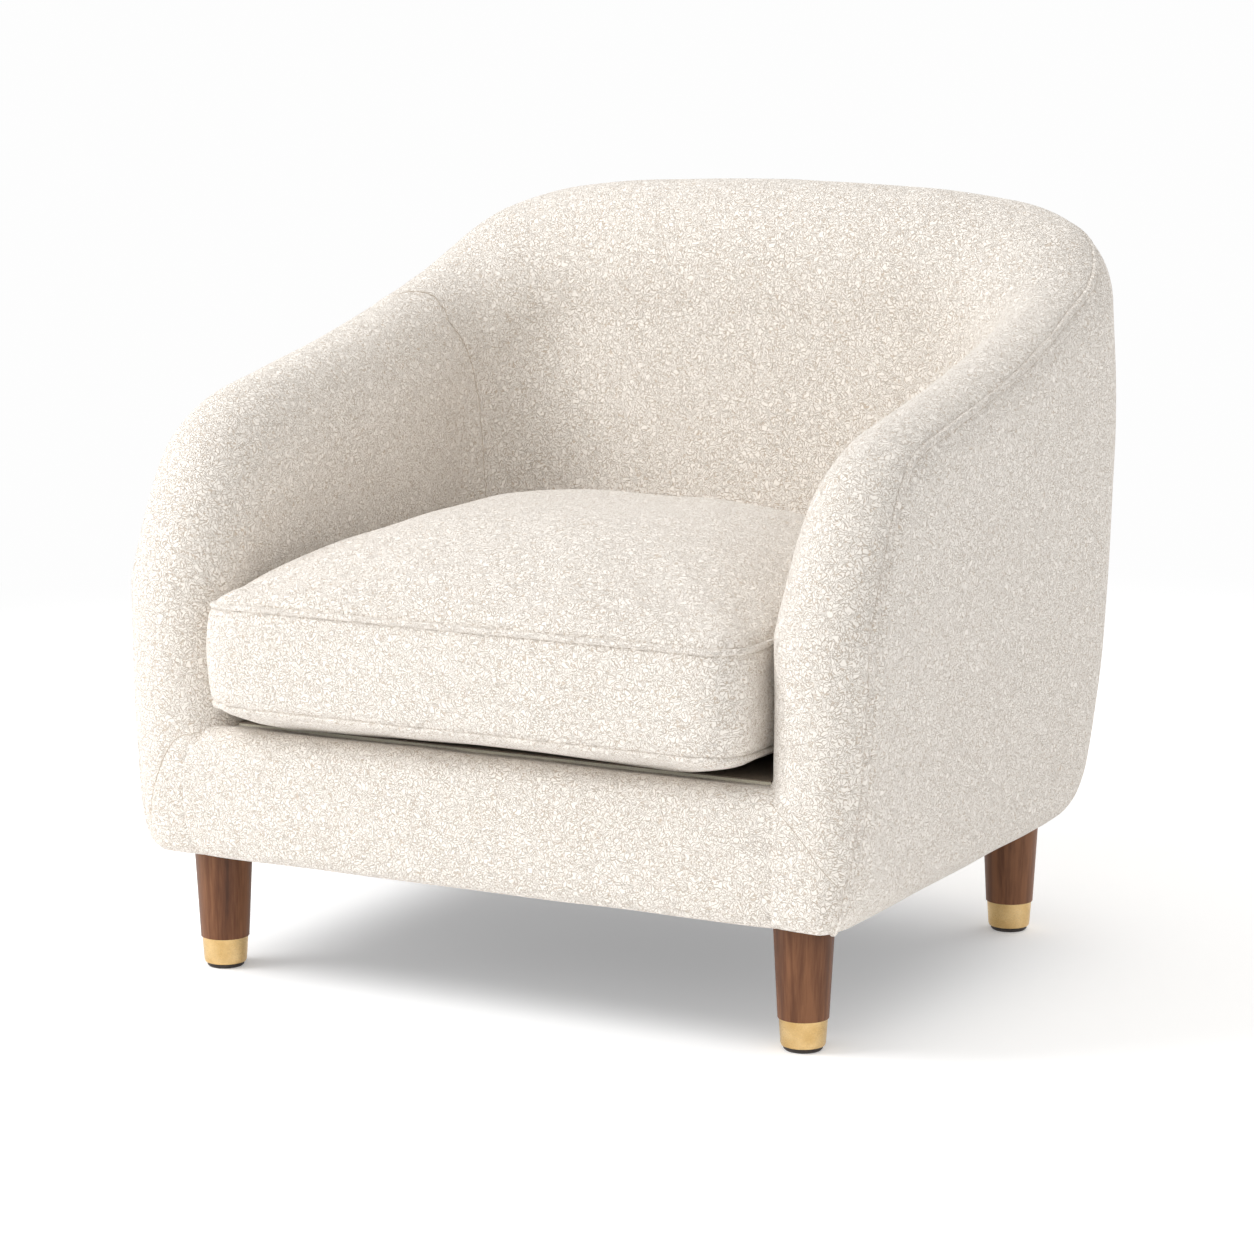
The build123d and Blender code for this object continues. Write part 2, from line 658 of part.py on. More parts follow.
def make_front_upholstery():
    half = INNER_X - SEAM_GAP
    outer = Pos(-half, 0, 0) * extrude(front_profile(0), 2 * half, dir=(1, 0, 0))
    inner = Pos(-half, 0, 0) * extrude(front_profile(COVER), 2 * half, dir=(1, 0, 0))
    behind = box(-500, 500, -RAIL_OUT_Y + 8, 0, 0, SPRING_Z + 8)
    cover = outer - inner - behind
    rail = box(-500, 500, -RAIL_OUT_Y, 0, 0, RAIL_TOP)
    clips = box(-500, 500, -RAIL_OUT_Y - 0.5, 0, 0, SPRING_Z + 5.5)
    foam = inner - rail - clips
    return {"front_rail_cover": cover, "front_rail_foam": foam}


def make_wall_upholstery():
    inside_low = DECK_TOP - 18
    inside_arm = arm_layer(inside_sheet, 0, COVER, inside_low)
    outside_arm = arm_layer(outside_sheet, 0, COVER, CLEARANCE)
    under = COVER + LAYER_GAP
    pad_low = OUTSIDE_LEVELS[0] - LAYER_GAP
    arm_foam = arm_layer(inside_sheet, under, INSIDE_FOAM, RAIL_TOP + 0.5)
    arm_pad = arm_layer(pad_sheet, under, OUTSIDE_PAD, pad_low)
    nose_cover = layer_skin([nose_ring(z, 0, COVER) for z in NOSE_LEVELS])
    nose_cover = nose_cover - box(0, RAIL_OUT_X + 0.5, -RAIL_OUT_Y - 0.5, 0, 0, DECK_TOP)
    slabs = [nose_slab(z, under) for z in NOSE_LEVELS]
    nose_foam = skin(slabs, len(slabs[0]))
    nose_foam = nose_foam - box(0, RAIL_OUT_X + 0.5, -RAIL_OUT_Y - 1, 0, 0, DECK_TOP)
    nose_foam = nose_foam - box(0, SIDE_X, NOSE_Y, 0, 0, CLEARANCE + COVER)
    nose_foam = nose_foam - box(LEG_X - 40, LEG_X + 40, -LEG_Y - 40, 0, 0, RAIL_BOTTOM + 6)
    made = {
        "inside_back_cover": back_layer(inside_sheet, 0, COVER, inside_low),
        "outside_back_cover": back_layer(outside_sheet, 0, COVER, CLEARANCE),
        "back_foam": back_layer(inside_sheet, under, INSIDE_FOAM, DECK_BOTTOM + 0.5),
        "back_outer_pad": back_layer(pad_sheet, under, OUTSIDE_PAD, pad_low),
    }
    for name, part in (("inside_arm_cover", inside_arm), ("outside_arm_cover", outside_arm),
                       ("arm_foam", arm_foam), ("arm_outer_pad", arm_pad),
                       ("arm_front_cover", nose_cover), ("arm_front_foam", nose_foam)):
        made[name + "_right"] = part
        made[name + "_left"] = flip(part)
    return made


def welt_points():
    """Right half of the outer welt: up the front corner, over the arm, round to the back."""
    stations = [arm_station(y) for y in (-240, -215, -190, -166, -120, -60, 0, 60, 110)]
    stations += [corner_station(degrees) for degrees in (0, 12, 24, 36, 48, 60, 72)]
    stations += [back_station(x) for x in (200, 150, 90, 30)]
    return WELT_FRONT + [s.place(*crown_point(s, s.welt, -2.5)) for s in stations]


def make_outer_welt():
    right = [Vector(*p) for p in welt_points()]
    left = [Vector(-p.X, p.Y, p.Z) for p in reversed(right)]
    points = right + left
    rings = []
    for k, here in enumerate(points):
        ahead = points[min(k + 1, len(points) - 1)] - points[max(k - 1, 0)]
        rings.append(Plane(here, x_dir=ahead.cross(Vector(0, 1, 0.3)), z_dir=ahead)
                     * Circle(WELT_RADIUS))
    return loft(rings, ruled=True)


# ---- Loose seat cushion -------------------------------------------------------------------
def cushion_outline(inset):
    front_corner = max(CUSHION_CORNER_FRONT - inset, 6)
    back_corner = max(CUSHION_CORNER_BACK - inset, 6)
    half = CUSHION_X - inset
    sheet = Rectangle(2 * half, CUSHION_BACK - CUSHION_FRONT - 2 * inset)
    rear = sheet.vertices().group_by(Axis.Y)[-1]
    sheet = fillet(rear, back_corner)
    sheet = fillet(sheet.vertices().sort_by(Axis.Y)[:2], front_corner)
    return Pos(0, (CUSHION_BACK + CUSHION_FRONT) / 2) * sheet


def cushion_slab(inset, z0, z1):
    return Pos(0, 0, z0) * extrude(cushion_outline(inset), z1 - z0)


def cushion_dome(inset, sink):
    """Crowned top above the upper welt, sunk by the cover's thickness."""
    rise = CROWN_TOP - WELT_HIGH
    layers = []
    for share, height in ((0, 0), (18, 0.4), (50, 0.7), (95, 0.9), (150, 0.99)):
        layers.append(Pos(0, 0, WELT_HIGH + rise * height - (sink if height else 0))
                      * cushion_outline(inset + share))
    return loft(layers, ruled=True)


def cushion_belly(inset, sink):
    """Underside below the lower welt, drawn in towards its flat middle."""
    drop = WELT_LOW - CUSHION_BOTTOM
    layers = []
    for share, depth in ((0, 0), (8, 0.5), (30, 0.9), (60, 1.0)):
        layers.append(Pos(0, 0, WELT_LOW - drop * depth + (sink if depth else 0))
                      * cushion_outline(inset + share))
    return loft(layers, ruled=True)


def cushion_welt(z):
    """Closed cord round the cushion's edge, made as a rounded ring."""
    loop = cushion_outline(0).wires()[0].moved(Location((0, 0, z)))
    start = Plane(loop @ 0, z_dir=loop % 0)
    return sweep(start * Circle(WELT_RADIUS), path=loop)


def make_cushion():
    thick = 2.0
    top = cushion_dome(WELT_RADIUS, 0) - cushion_dome(WELT_RADIUS + thick, thick)
    belly = cushion_belly(WELT_RADIUS, 0) - cushion_belly(WELT_RADIUS + thick, thick)
    boxing = cushion_slab(0, WELT_LOW, WELT_HIGH) - cushion_slab(thick, WELT_LOW, WELT_HIGH)
    core = (cushion_slab(WELT_RADIUS + thick + 0.2, WELT_LOW, WELT_HIGH)
            + cushion_dome(WELT_RADIUS + thick + 0.2, thick + 0.2)
            + cushion_belly(WELT_RADIUS + thick + 0.2, thick + 0.2))
    zip_z = (WELT_LOW + WELT_HIGH) / 2
    back = CUSHION_BACK
    tape = box(-ZIP_HALF, ZIP_HALF, back, back + 0.8, zip_z - 14, zip_z + 14)
    coil = box(-ZIP_HALF, ZIP_HALF, back + 0.8, back + 2.6, zip_z - 2.5, zip_z + 2.5)
    slider_x = -ZIP_HALF + 14
    slider = box(slider_x - 9, slider_x + 9, back + 3.0, back + 5.0, zip_z - 6, zip_z + 6)
    lug = box(slider_x - 5, slider_x + 3, back + 5.0, back + 6.4, zip_z - 1.5, zip_z + 1.5)
    return {
        "cushion_foam": core,
        "cushion_top_panel": top,
        "cushion_bottom_panel": belly,
        "cushion_boxing": boxing,
        "cushion_welt_top": cushion_welt(WELT_HIGH),
        "cushion_welt_bottom": cushion_welt(WELT_LOW),
        "cushion_zip": tape + coil,
        "cushion_zip_slider": slider + lug,
    }


# ---- Write every piece --------------------------------------------------------------------
def make_all():
    made = {}
    made.update(make_legs())
    made.update(make_frame())
    made.update(make_seat_support())
    made.update(make_front_upholstery())
    made.update(make_wall_upholstery())
    made["outer_welt"] = make_outer_welt()
    made.update(make_cushion())
    return made


for node, part in make_all().items():
    placed = Pos(0, ORIGIN_SHIFT, 0) * part
    export_step(placed, "parts/" + node + ".step")
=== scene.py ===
import json
import math

import bmesh
import bpy
import numpy as np
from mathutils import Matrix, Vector, kdtree, noise
from mathutils.bvhtree import BVHTree


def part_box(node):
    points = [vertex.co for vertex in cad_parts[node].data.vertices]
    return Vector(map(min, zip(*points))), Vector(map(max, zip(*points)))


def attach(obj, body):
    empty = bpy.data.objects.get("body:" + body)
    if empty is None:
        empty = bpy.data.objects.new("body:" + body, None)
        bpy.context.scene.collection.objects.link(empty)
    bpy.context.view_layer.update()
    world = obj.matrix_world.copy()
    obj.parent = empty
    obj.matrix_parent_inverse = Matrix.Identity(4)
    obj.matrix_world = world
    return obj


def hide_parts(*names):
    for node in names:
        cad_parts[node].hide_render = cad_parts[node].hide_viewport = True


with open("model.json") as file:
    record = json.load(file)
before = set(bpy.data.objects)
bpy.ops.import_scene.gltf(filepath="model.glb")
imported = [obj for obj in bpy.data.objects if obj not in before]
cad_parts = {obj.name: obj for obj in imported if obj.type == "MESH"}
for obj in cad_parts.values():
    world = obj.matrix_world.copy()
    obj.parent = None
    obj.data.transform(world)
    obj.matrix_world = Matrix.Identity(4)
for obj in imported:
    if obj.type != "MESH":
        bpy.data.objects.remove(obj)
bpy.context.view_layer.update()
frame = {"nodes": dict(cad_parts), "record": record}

# Everything is in metres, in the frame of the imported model: +Z up, -Y the front.

# ---- Camera -------------------------------------------------------------------------------
CAMERA_PLACE = (1.7878, -3.4251, 1.0121)
CAMERA_AZIMUTH = math.radians(27.874)
CAMERA_PITCH = math.radians(10.113)
CAMERA_LENS = 110.6


def make_camera():
    data = bpy.data.cameras.new("camera")
    data.lens = CAMERA_LENS
    data.sensor_width = 36.0
    data.clip_start = 0.1
    data.clip_end = 300.0
    camera = bpy.data.objects.new("camera", data)
    camera.location = CAMERA_PLACE
    camera.rotation_euler = (math.pi / 2 - CAMERA_PITCH, 0.0, CAMERA_AZIMUTH)
    bpy.context.scene.collection.objects.link(camera)
    bpy.context.scene.camera = camera


make_camera()

# ---- Dimensions of the tub, from the frame -------------------------------------------------
leg_low, leg_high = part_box("leg_front_right")
rear_low, rear_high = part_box("leg_rear_right")
OFFSET_Y = (leg_low.y + leg_high.y + rear_low.y + rear_high.y) / 4
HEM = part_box("outside_arm_cover_right")[0].z
INNER_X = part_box("inside_arm_cover_right")[0].x
DECK_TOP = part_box("deck_cover")[1].z
INSIDE_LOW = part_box("inside_back_cover")[0].z

SIDE_X = 0.404
NOSE_Y = -0.309
BACK_Y = 0.331
BACK_LEAN = 0.172
INNER_BACK_Y = 0.264
INNER_BACK_Z = 0.476
INNER_CORNER = 0.100
RIDGE_X = 0.354
RIDGE_Y = 0.380
RIDGE_CORNER = 0.100
CROWN_OUT = (0.050, 0.045)
CROWN_IN = (0.061, 0.062)
SEAM_Y = 0.150
AXIS_X = 0.193
ROLL_LOW = 0.392              # the arm fronts start to lean back here
WELT_RADIUS = 0.0041
LAST_TILT = 0.215             # run of the roll over which a section turns to level


def smooth_table(points):
    """Monotone cubic curve through a short table, held level beyond its ends."""
    xs = np.array([p[0] for p in points], float)
    ys = np.array([p[1] for p in points], float)
    gap = np.diff(xs)
    rate = np.diff(ys) / gap
    slope = np.zeros_like(ys)
    slope[0] = rate[0]
    slope[-1] = rate[-1]
    for i in range(1, len(xs) - 1):
        if rate[i - 1] * rate[i] > 0:
            w1 = 2 * gap[i] + gap[i - 1]
            w2 = gap[i] + 2 * gap[i - 1]
            slope[i] = (w1 + w2) / (w1 / rate[i - 1] + w2 / rate[i])

    def at(x):
        x = min(max(x, xs[0]), xs[-1])
        i = min(max(int(np.searchsorted(xs, x)) - 1, 0), len(xs) - 2)
        t = (x - xs[i]) / gap[i]
        start = (2 * t ** 3 - 3 * t ** 2 + 1) * ys[i]
        leaving = (t ** 3 - 2 * t ** 2 + t) * gap[i] * slope[i]
        end = (3 * t ** 2 - 2 * t ** 3) * ys[i + 1]
        arriving = (t ** 3 - t ** 2) * gap[i] * slope[i + 1]
        return start + leaving + end + arriving

    return at


def millimetres(points):
    return [(a / 1000, b / 1000) for a, b in points]


ridge_along = smooth_table(millimetres([
    (0, 392), (12, 424), (28, 462), (54, 508), (82, 540), (143, 570), (215, 584),
    (366, 614), (487, 645), (570, 673), (667, 723), (746, 745), (841, 755), (1000, 760)]))
side_bulge = smooth_table(millimetres([
    (123, -34), (133, -22), (150, -13), (180, -7), (230, -3), (300, 0), (420, 1), (520, 0),
    (620, -4), (760, -12)]))
back_tuck = smooth_table(millimetres([
    (123, -30), (133, -17), (150, -8), (180, -2), (230, 0), (760, 0)]))
outer_corner = smooth_table(millimetres([
    (123, 84), (150, 90), (300, 94), (450, 105), (560, 118), (620, 132), (700, 150), (760, 160)]))
hem_tuck = smooth_table(millimetres([
    (123, 13), (125, 8.2), (128, 5), (133, 2.2), (142, 0.5), (150, 0)]))
# Angle of the outer welt on the crown, against the run along the wall: below zero up the arm's
# front, then over the roll and along the arm, and last round the corner and across the back.
welt_at = smooth_table([
    (-0.269, 43), (-0.236, 42), (-0.197, 35), (-0.150, 30), (-0.085, 26), (-0.017, 23),
    (0.046, 25), (0.066, 27), (0.094, 31), (0.129, 36.5), (0.380, 37), (0.459, 41),
    (0.560, 50), (0.640, 53), (0.760, 50), (1.000, 49)])


def side_x(z):
    return SIDE_X + side_bulge(z)


def back_y(z):
    return BACK_Y + BACK_LEAN * (z - HEM) + back_tuck(z)


def inner_back_y(z):
    return INNER_BACK_Y + BACK_LEAN * (z - INNER_BACK_Z)


def reach(half_x, far_y, corner, angle):
    """Distance from the corner axis to a rounded outline, in the direction of angle."""
    ux = math.cos(angle)
    uy = math.sin(angle)
    cx = half_x - corner - AXIS_X
    cy = far_y - corner - SEAM_Y
    if ux > 1e-9 and (half_x - AXIS_X) / ux * uy <= cy:
        return (half_x - AXIS_X) / ux
    if uy > 1e-9 and (far_y - SEAM_Y) / uy * ux <= cx:
        return (far_y - SEAM_Y) / uy
    along = ux * cx + uy * cy
    return along + math.sqrt(along ** 2 - cx ** 2 - cy ** 2 + corner ** 2)


def ridge_height(x, y):
    turn_y = RIDGE_Y - RIDGE_CORNER
    turn_x = RIDGE_X - RIDGE_CORNER
    if y <= turn_y:
        return ridge_along(y - NOSE_Y)
    if x <= turn_x:
        return ridge_along(turn_y - NOSE_Y + RIDGE_CORNER * math.pi / 2 + turn_x - x)
    return ridge_along(turn_y - NOSE_Y + RIDGE_CORNER * math.atan2(y - turn_y, x - turn_x))


# ---- Stations along the wall ---------------------------------------------------------------
def pinch(degrees, welt):
    """How far the cloth dips beside the welt."""
    return 0.0030 * math.exp(-((degrees - welt) / 5.0) ** 2)


def low_flat(z):
    """0 where an arm's front is round towards the seat, 1 where it lies flat beside the rail."""
    t = min(1.0, max(0.0, (0.258 - z) / 0.022))
    return t * t * (3 - 2 * t)


class FrontStation:
    """Section across an arm at a point of its spine: up the front, over the roll, then back."""

    def __init__(self, y, z, along):
        tilt = math.pi / 2 * (1 - (1 - min(1.0, max(0.0, along / LAST_TILT))) ** 2.1)
        self.spine = (y, z)
        self.deep = (math.cos(tilt), -math.sin(tilt))     # into the arm, in (y, z)
        self.inner_depth = (CROWN_IN[1] + 0.045 * math.sin(tilt) ** 1.5) * (1 - 0.8 * low_flat(z))
        self.welt = welt_at(along)

    def crown(self, degrees):
        swing = math.cos(math.radians(degrees))
        dip = pinch(degrees, self.welt)
        sink = 1 - math.sin(math.radians(degrees)) * (1 - dip / 0.05)
        depth = (CROWN_OUT[1] if degrees < 90 else self.inner_depth) * sink
        y = self.spine[0] + self.deep[0] * depth
        z = self.spine[1] + self.deep[1] * depth
        width = side_x(z) - RIDGE_X - dip if degrees < 90 else RIDGE_X - INNER_X
        return (RIDGE_X + width * swing, y + hem_tuck(z) * self.deep[0], z)

    def outer_face(self, share):
        x, y, top = self.crown(0)
        z = HEM + (top - HEM) * share
        return (side_x(z), y, z)

    def inner_face(self, share):
        x, y, top = self.crown(180)
        return (INNER_X, y, INSIDE_LOW + (top - INSIDE_LOW) * share)


class WallStation:
    """Upright section where the wall turns the corner and crosses the back."""

    def __init__(self, place, outer, inner, ridge, height, along):
        self.place = place
        self.outer = outer
        self.inner = inner
        self.ridge = ridge
        self.height = height
        self.inner_depth = CROWN_IN[1] + 0.045 + 0.030 * min(1.0, (along - 0.459) / 0.25)
        self.welt = welt_at(along)

    def crown(self, degrees):
        swing = math.cos(math.radians(degrees))
        dip = pinch(degrees, self.welt)
        drop = CROWN_OUT[1] if degrees < 90 else self.inner_depth
        foot_z = self.height - drop
        z = foot_z + (drop - dip) * math.sin(math.radians(degrees))
        foot = self.outer(foot_z) - dip if degrees < 90 else self.inner(foot_z)
        return self.place(self.ridge + (foot - self.ridge) * abs(swing), z)

    def outer_face(self, share):
        top = self.height - CROWN_OUT[1]
        z = HEM + (top - HEM) * share
        return self.place(self.outer(z), z)

    def inner_face(self, share):
        top = self.height - self.inner_depth
        z = INSIDE_LOW + (top - INSIDE_LOW) * share
        return self.place(self.inner(z), z)


def corner_station(angle):
    ux = math.cos(angle)
    uy = math.sin(angle)
    ridge = reach(RIDGE_X, RIDGE_Y, RIDGE_CORNER, angle)
    return WallStation(
        lambda e, z: (AXIS_X + e * ux, SEAM_Y + e * uy, z),
        lambda z: reach(side_x(z), back_y(z), outer_corner(z), angle),
        lambda z: reach(INNER_X, inner_back_y(z), INNER_CORNER, angle),
        ridge,
        ridge_height(AXIS_X + ridge * ux, SEAM_Y + ridge * uy),
        SEAM_Y - NOSE_Y + 0.230 * angle,
    )


def back_station(x):
    return WallStation(
        lambda e, z: (x, e, z), back_y, inner_back_y, RIDGE_Y, ridge_height(abs(x), RIDGE_Y),
        SEAM_Y - NOSE_Y + 0.361 + AXIS_X - abs(x))


LOW_ROWS = 38                 # rows of the mesh below the deck, and above it on an arm front
HIGH_ROWS = 44
front_heights = ([HEM + (INSIDE_LOW - HEM) * (k / LOW_ROWS) ** 1.3 for k in range(LOW_ROWS)]
                 + [INSIDE_LOW + (ROLL_LOW - INSIDE_LOW) * k / HIGH_ROWS
                    for k in range(HIGH_ROWS + 1)])
upright_stations = [FrontStation(NOSE_Y, z, z - ROLL_LOW) for z in front_heights]


def arm_top_stations():
    """From the start of the roll to the plane where the corner begins."""
    spots = []
    along = 0.0
    while along < SEAM_Y - NOSE_Y - 1e-6:
        spots.append(along)
        along += 0.0012 + 0.0035 * min(1.0, along / 0.05)
    spots.append(SEAM_Y - NOSE_Y)
    return [FrontStation(NOSE_Y + s, ridge_along(s), s) for s in spots]


arm_stations = arm_top_stations()
CORNER_STEPS = 64
corner_stations = [corner_station(math.pi / 2 * k / CORNER_STEPS)
                   for k in range(1, CORNER_STEPS + 1)]
BACK_STEPS = 44
back_stations = [back_station(AXIS_X * (1 - k / BACK_STEPS)) for k in range(1, BACK_STEPS + 1)]
right_stations = arm_stations + corner_stations + back_stations


# ---- Mesh helpers --------------------------------------------------------------------------
def moved(point):
    return (point[0], point[1] + OFFSET_Y, point[2])


def mirrored(grid):
    flipped = np.array(grid, float)
    flipped[..., 0] *= -1
    return flipped


def mesh_object(name, verts, faces):
    mesh = bpy.data.meshes.new(name)
    mesh.from_pydata([tuple(v) for v in verts], [], [tuple(f) for f in faces])
    mesh.validate()
    piece = bpy.data.objects.new(name, mesh)
    bpy.context.scene.collection.objects.link(piece)
    for polygon in mesh.polygons:
        polygon.use_smooth = True
    return piece


def grid_faces(rows, columns, start, close=False):
    faces = []
    for i in range(rows - 1):
        for j in range(columns - 1 + close):
            a = start + i * columns + j
            b = start + i * columns + (j + 1) % columns
            faces.append((a, b, b + columns, a + columns))
    return faces


def grids_object(name, grids):
    """One mesh of several quad grids, sewn together where their edges meet."""
    verts = []
    faces = []
    for grid in grids:
        grid = np.array(grid, float)
        faces += grid_faces(grid.shape[0], grid.shape[1], len(verts))
        verts += [tuple(p) for p in grid.reshape(-1, 3)]
    piece = mesh_object(name, verts, faces)
    edit = bmesh.new()
    edit.from_mesh(piece.data)
    bmesh.ops.remove_doubles(edit, verts=edit.verts, dist=0.00005)
    bmesh.ops.recalc_face_normals(edit, faces=edit.faces)
    edit.to_mesh(piece.data)
    edit.free()
    for polygon in piece.data.polygons:
        polygon.use_smooth = True
    return piece


def tube(name, path, radius, sides=12, closed=False):
    """Round cord along a list of points."""
    path = np.array(path, float)
    count = len(path)
    if closed:
        ahead = np.roll(path, -1, 0) - np.roll(path, 1, 0)
    else:
        ahead = np.gradient(path, axis=0)
    ahead /= np.linalg.norm(ahead, axis=1)[:, None]
    side = np.cross(ahead[0], (0.3, 0.2, 0.9))
    rings = []
    for k in range(count):
        side = side - ahead[k] * (side @ ahead[k])
        side = side / np.linalg.norm(side)
        other = np.cross(ahead[k], side)
        turn = np.linspace(0, 2 * math.pi, sides, endpoint=False)
        ring = (path[k] + radius * np.cos(turn)[:, None] * side
                + radius * np.sin(turn)[:, None] * other)
        rings.append(ring)
    verts = np.concatenate(rings)
    faces = grid_faces(count, sides, 0, close=True)
    if closed:
        last = (count - 1) * sides
        faces += [(last + j, last + (j + 1) % sides, (j + 1) % sides, j) for j in range(sides)]
    else:
        faces.append(tuple(range(sides)))
        faces.append(tuple((count - 1) * sides + j for j in reversed(range(sides))))
    return mesh_object(name, verts, faces)


# ---- Materials -----------------------------------------------------------------------------
class Nodes:
    """Thin wrapper that adds shader nodes and links by name."""

    def __init__(self, name):
        self.material = bpy.data.materials.new(name)
        self.material.use_nodes = True
        self.tree = self.material.node_tree
        self.shader = self.tree.nodes["Principled BSDF"]

    def add(self, kind, inputs=None, **settings):
        node = self.tree.nodes.new(kind)
        for key, value in settings.items():
            setattr(node, key, value)
        for key, value in (inputs or {}).items():
            if isinstance(value, bpy.types.NodeSocket):
                self.tree.links.new(value, node.inputs[key])
            else:
                node.inputs[key].default_value = value
        return node

    def math(self, operation, a, b=0.0, c=0.0):
        node = self.add("ShaderNodeMath", {0: a, 1: b, 2: c}, operation=operation)
        return node.outputs[0]

    def ramp(self, factor, stops):
        node = self.add("ShaderNodeValToRGB", {0: factor})
        ramp = node.color_ramp
        while len(ramp.elements) < len(stops):
            ramp.elements.new(0.5)
        for element, (place, color) in zip(ramp.elements, stops):
            element.position = place
            element.color = (*color, 1.0)
        return node.outputs[0]

    def surface(self, **sockets):
        for key, value in sockets.items():
            name = key.replace("_", " ")
            if isinstance(value, bpy.types.NodeSocket):
                self.tree.links.new(value, self.shader.inputs[name])
            else:
                self.shader.inputs[name].default_value = value


def boucle_material(name, light, painted_crease_shade, scale=1.0):
    """Looped cream yarn: worm-like nubs 2 mm across and about 5 mm long, with soft creases painted
    in a darker shade colour.
    """
    m = Nodes(name)
    place = m.add("ShaderNodeTexCoord").outputs["Object"]
    sway = m.add("ShaderNodeTexNoise", {"Vector": place, "Scale": 120.0 * scale, "Detail": 1.0})
    shift = m.add("ShaderNodeVectorMath", {0: sway.outputs["Color"], 1: (0.5, 0.5, 0.5)},
                  operation="SUBTRACT")
    shift = m.add("ShaderNodeVectorMath", {0: shift.outputs[0], "Scale": 0.016 / scale},
                  operation="SCALE")
    bent = m.add("ShaderNodeVectorMath", {0: place, 1: shift.outputs[0]}, operation="ADD")
    lays = []
    for stretch in ((0.50, 0.50, 1.0), (1.0, 1.0, 0.48)):
        turned = m.add("ShaderNodeMapping", {"Vector": bent.outputs[0], "Scale": stretch})
        cells = m.add("ShaderNodeTexVoronoi", {"Vector": turned.outputs[0],
                                               "Scale": 370.0 * scale},
                      feature="DISTANCE_TO_EDGE")
        lays.append(m.add("ShaderNodeMapRange", {"Value": cells.outputs["Distance"],
                                                 "From Min": 0.0, "From Max": 0.12},
                          interpolation_type="SMOOTHSTEP").outputs[0])
    which = m.add("ShaderNodeTexNoise", {"Vector": place, "Scale": 95.0 * scale, "Detail": 0.0})
    share = m.add("ShaderNodeMapRange", {"Value": which.outputs["Fac"], "From Min": 0.44,
                                         "From Max": 0.56}, interpolation_type="SMOOTHSTEP")
    nub = m.add("ShaderNodeMix", {0: share.outputs[0], 2: lays[0], 3: lays[1]}).outputs[0]
    fibre = m.add("ShaderNodeTexNoise", {"Vector": bent.outputs[0], "Scale": 1000.0 * scale,
                                         "Detail": 2.0})
    loops = m.add("ShaderNodeTexNoise", {"Vector": place, "Scale": 260.0 * scale, "Detail": 1.0})
    height = m.math("MULTIPLY_ADD", nub, 0.60, m.math("MULTIPLY", loops.outputs["Fac"], 0.28))
    height = m.math("MULTIPLY_ADD", fibre.outputs["Fac"], 0.08, height)
    patch = m.add("ShaderNodeTexNoise", {"Vector": place, "Scale": 11.0, "Detail": 2.0})
    # Colour: where the nubs dip into creases the cream turns to painted shade; the loops and the
    # broad patch noise vary the cream's own tone at random.
    crease_shade_and_tone = m.math("MULTIPLY_ADD", nub, 0.62, m.math("MULTIPLY", loops.outputs["Fac"], 0.14))
    crease_shade_and_tone = m.math("MULTIPLY_ADD", patch.outputs["Fac"], 0.10, crease_shade_and_tone)
    middle = tuple(0.80 * a + 0.20 * b for a, b in zip(light, painted_crease_shade))
    color = m.ramp(crease_shade_and_tone, [(0.14, painted_crease_shade), (0.42, middle), (0.72, light)])
    bump = m.add("ShaderNodeBump", {"Height": height, "Strength": 0.8, "Distance": 0.0016})
    m.surface(Base_Color=color, Roughness=0.95, Normal=bump.outputs[0], Sheen_Weight=0.25,
              Sheen_Roughness=0.5, Specular_IOR_Level=0.12)
    return m.material


def walnut_material(name):
    m = Nodes(name)
    place = m.add("ShaderNodeTexCoord").outputs["Object"]
    stretched = m.add("ShaderNodeMapping", {"Vector": place, "Scale": (1.0, 1.0, 0.06)})
    grain = m.add("ShaderNodeTexNoise", {"Vector": stretched.outputs[0], "Scale": 150.0,
                                         "Detail": 6.0, "Roughness": 0.6})
    broad = m.add("ShaderNodeTexNoise", {"Vector": stretched.outputs[0], "Scale": 34.0,
                                         "Detail": 2.0, "Distortion": 0.6})
    pores = m.add("ShaderNodeTexNoise", {"Vector": stretched.outputs[0], "Scale": 620.0,
                                         "Detail": 2.0})
    mix = m.math("MULTIPLY_ADD", grain.outputs["Fac"], 0.55,
                 m.math("MULTIPLY", broad.outputs["Fac"], 0.45))
    mix = m.math("MULTIPLY_ADD", pores.outputs["Fac"], 0.14, mix)
    color = m.ramp(mix, [(0.38, (0.060, 0.020, 0.008)), (0.52, (0.135, 0.050, 0.020)),
                         (0.66, (0.235, 0.098, 0.042))])
    rough = m.math("MULTIPLY_ADD", grain.outputs["Fac"], 0.2, 0.33)
    bump = m.add("ShaderNodeBump", {"Height": mix, "Strength": 0.25, "Distance": 0.0004})
    m.surface(Base_Color=color, Roughness=rough, Normal=bump.outputs[0],
              Specular_IOR_Level=0.3)
    return m.material


def brass_material(name):
    m = Nodes(name)
    place = m.add("ShaderNodeTexCoord").outputs["Object"]
    fine = m.add("ShaderNodeMapping", {"Vector": place, "Scale": (1.0, 1.0, 14.0)})
    brush = m.add("ShaderNodeTexNoise", {"Vector": fine.outputs[0], "Scale": 260.0, "Detail": 4.0})
    wear = m.add("ShaderNodeTexNoise", {"Vector": place, "Scale": 55.0, "Detail": 3.0})
    color = m.ramp(wear.outputs["Fac"], [(0.3, (0.62, 0.41, 0.17)), (0.7, (0.78, 0.56, 0.28))])
    rough = m.math("MULTIPLY_ADD", brush.outputs["Fac"], 0.14, 0.2)
    bump = m.add("ShaderNodeBump", {"Height": brush.outputs["Fac"], "Strength": 0.12,
                                    "Distance": 0.0002})
    m.surface(Base_Color=color, Metallic=1.0, Roughness=rough, Normal=bump.outputs[0],
              Anisotropic=0.5)
    return m.material


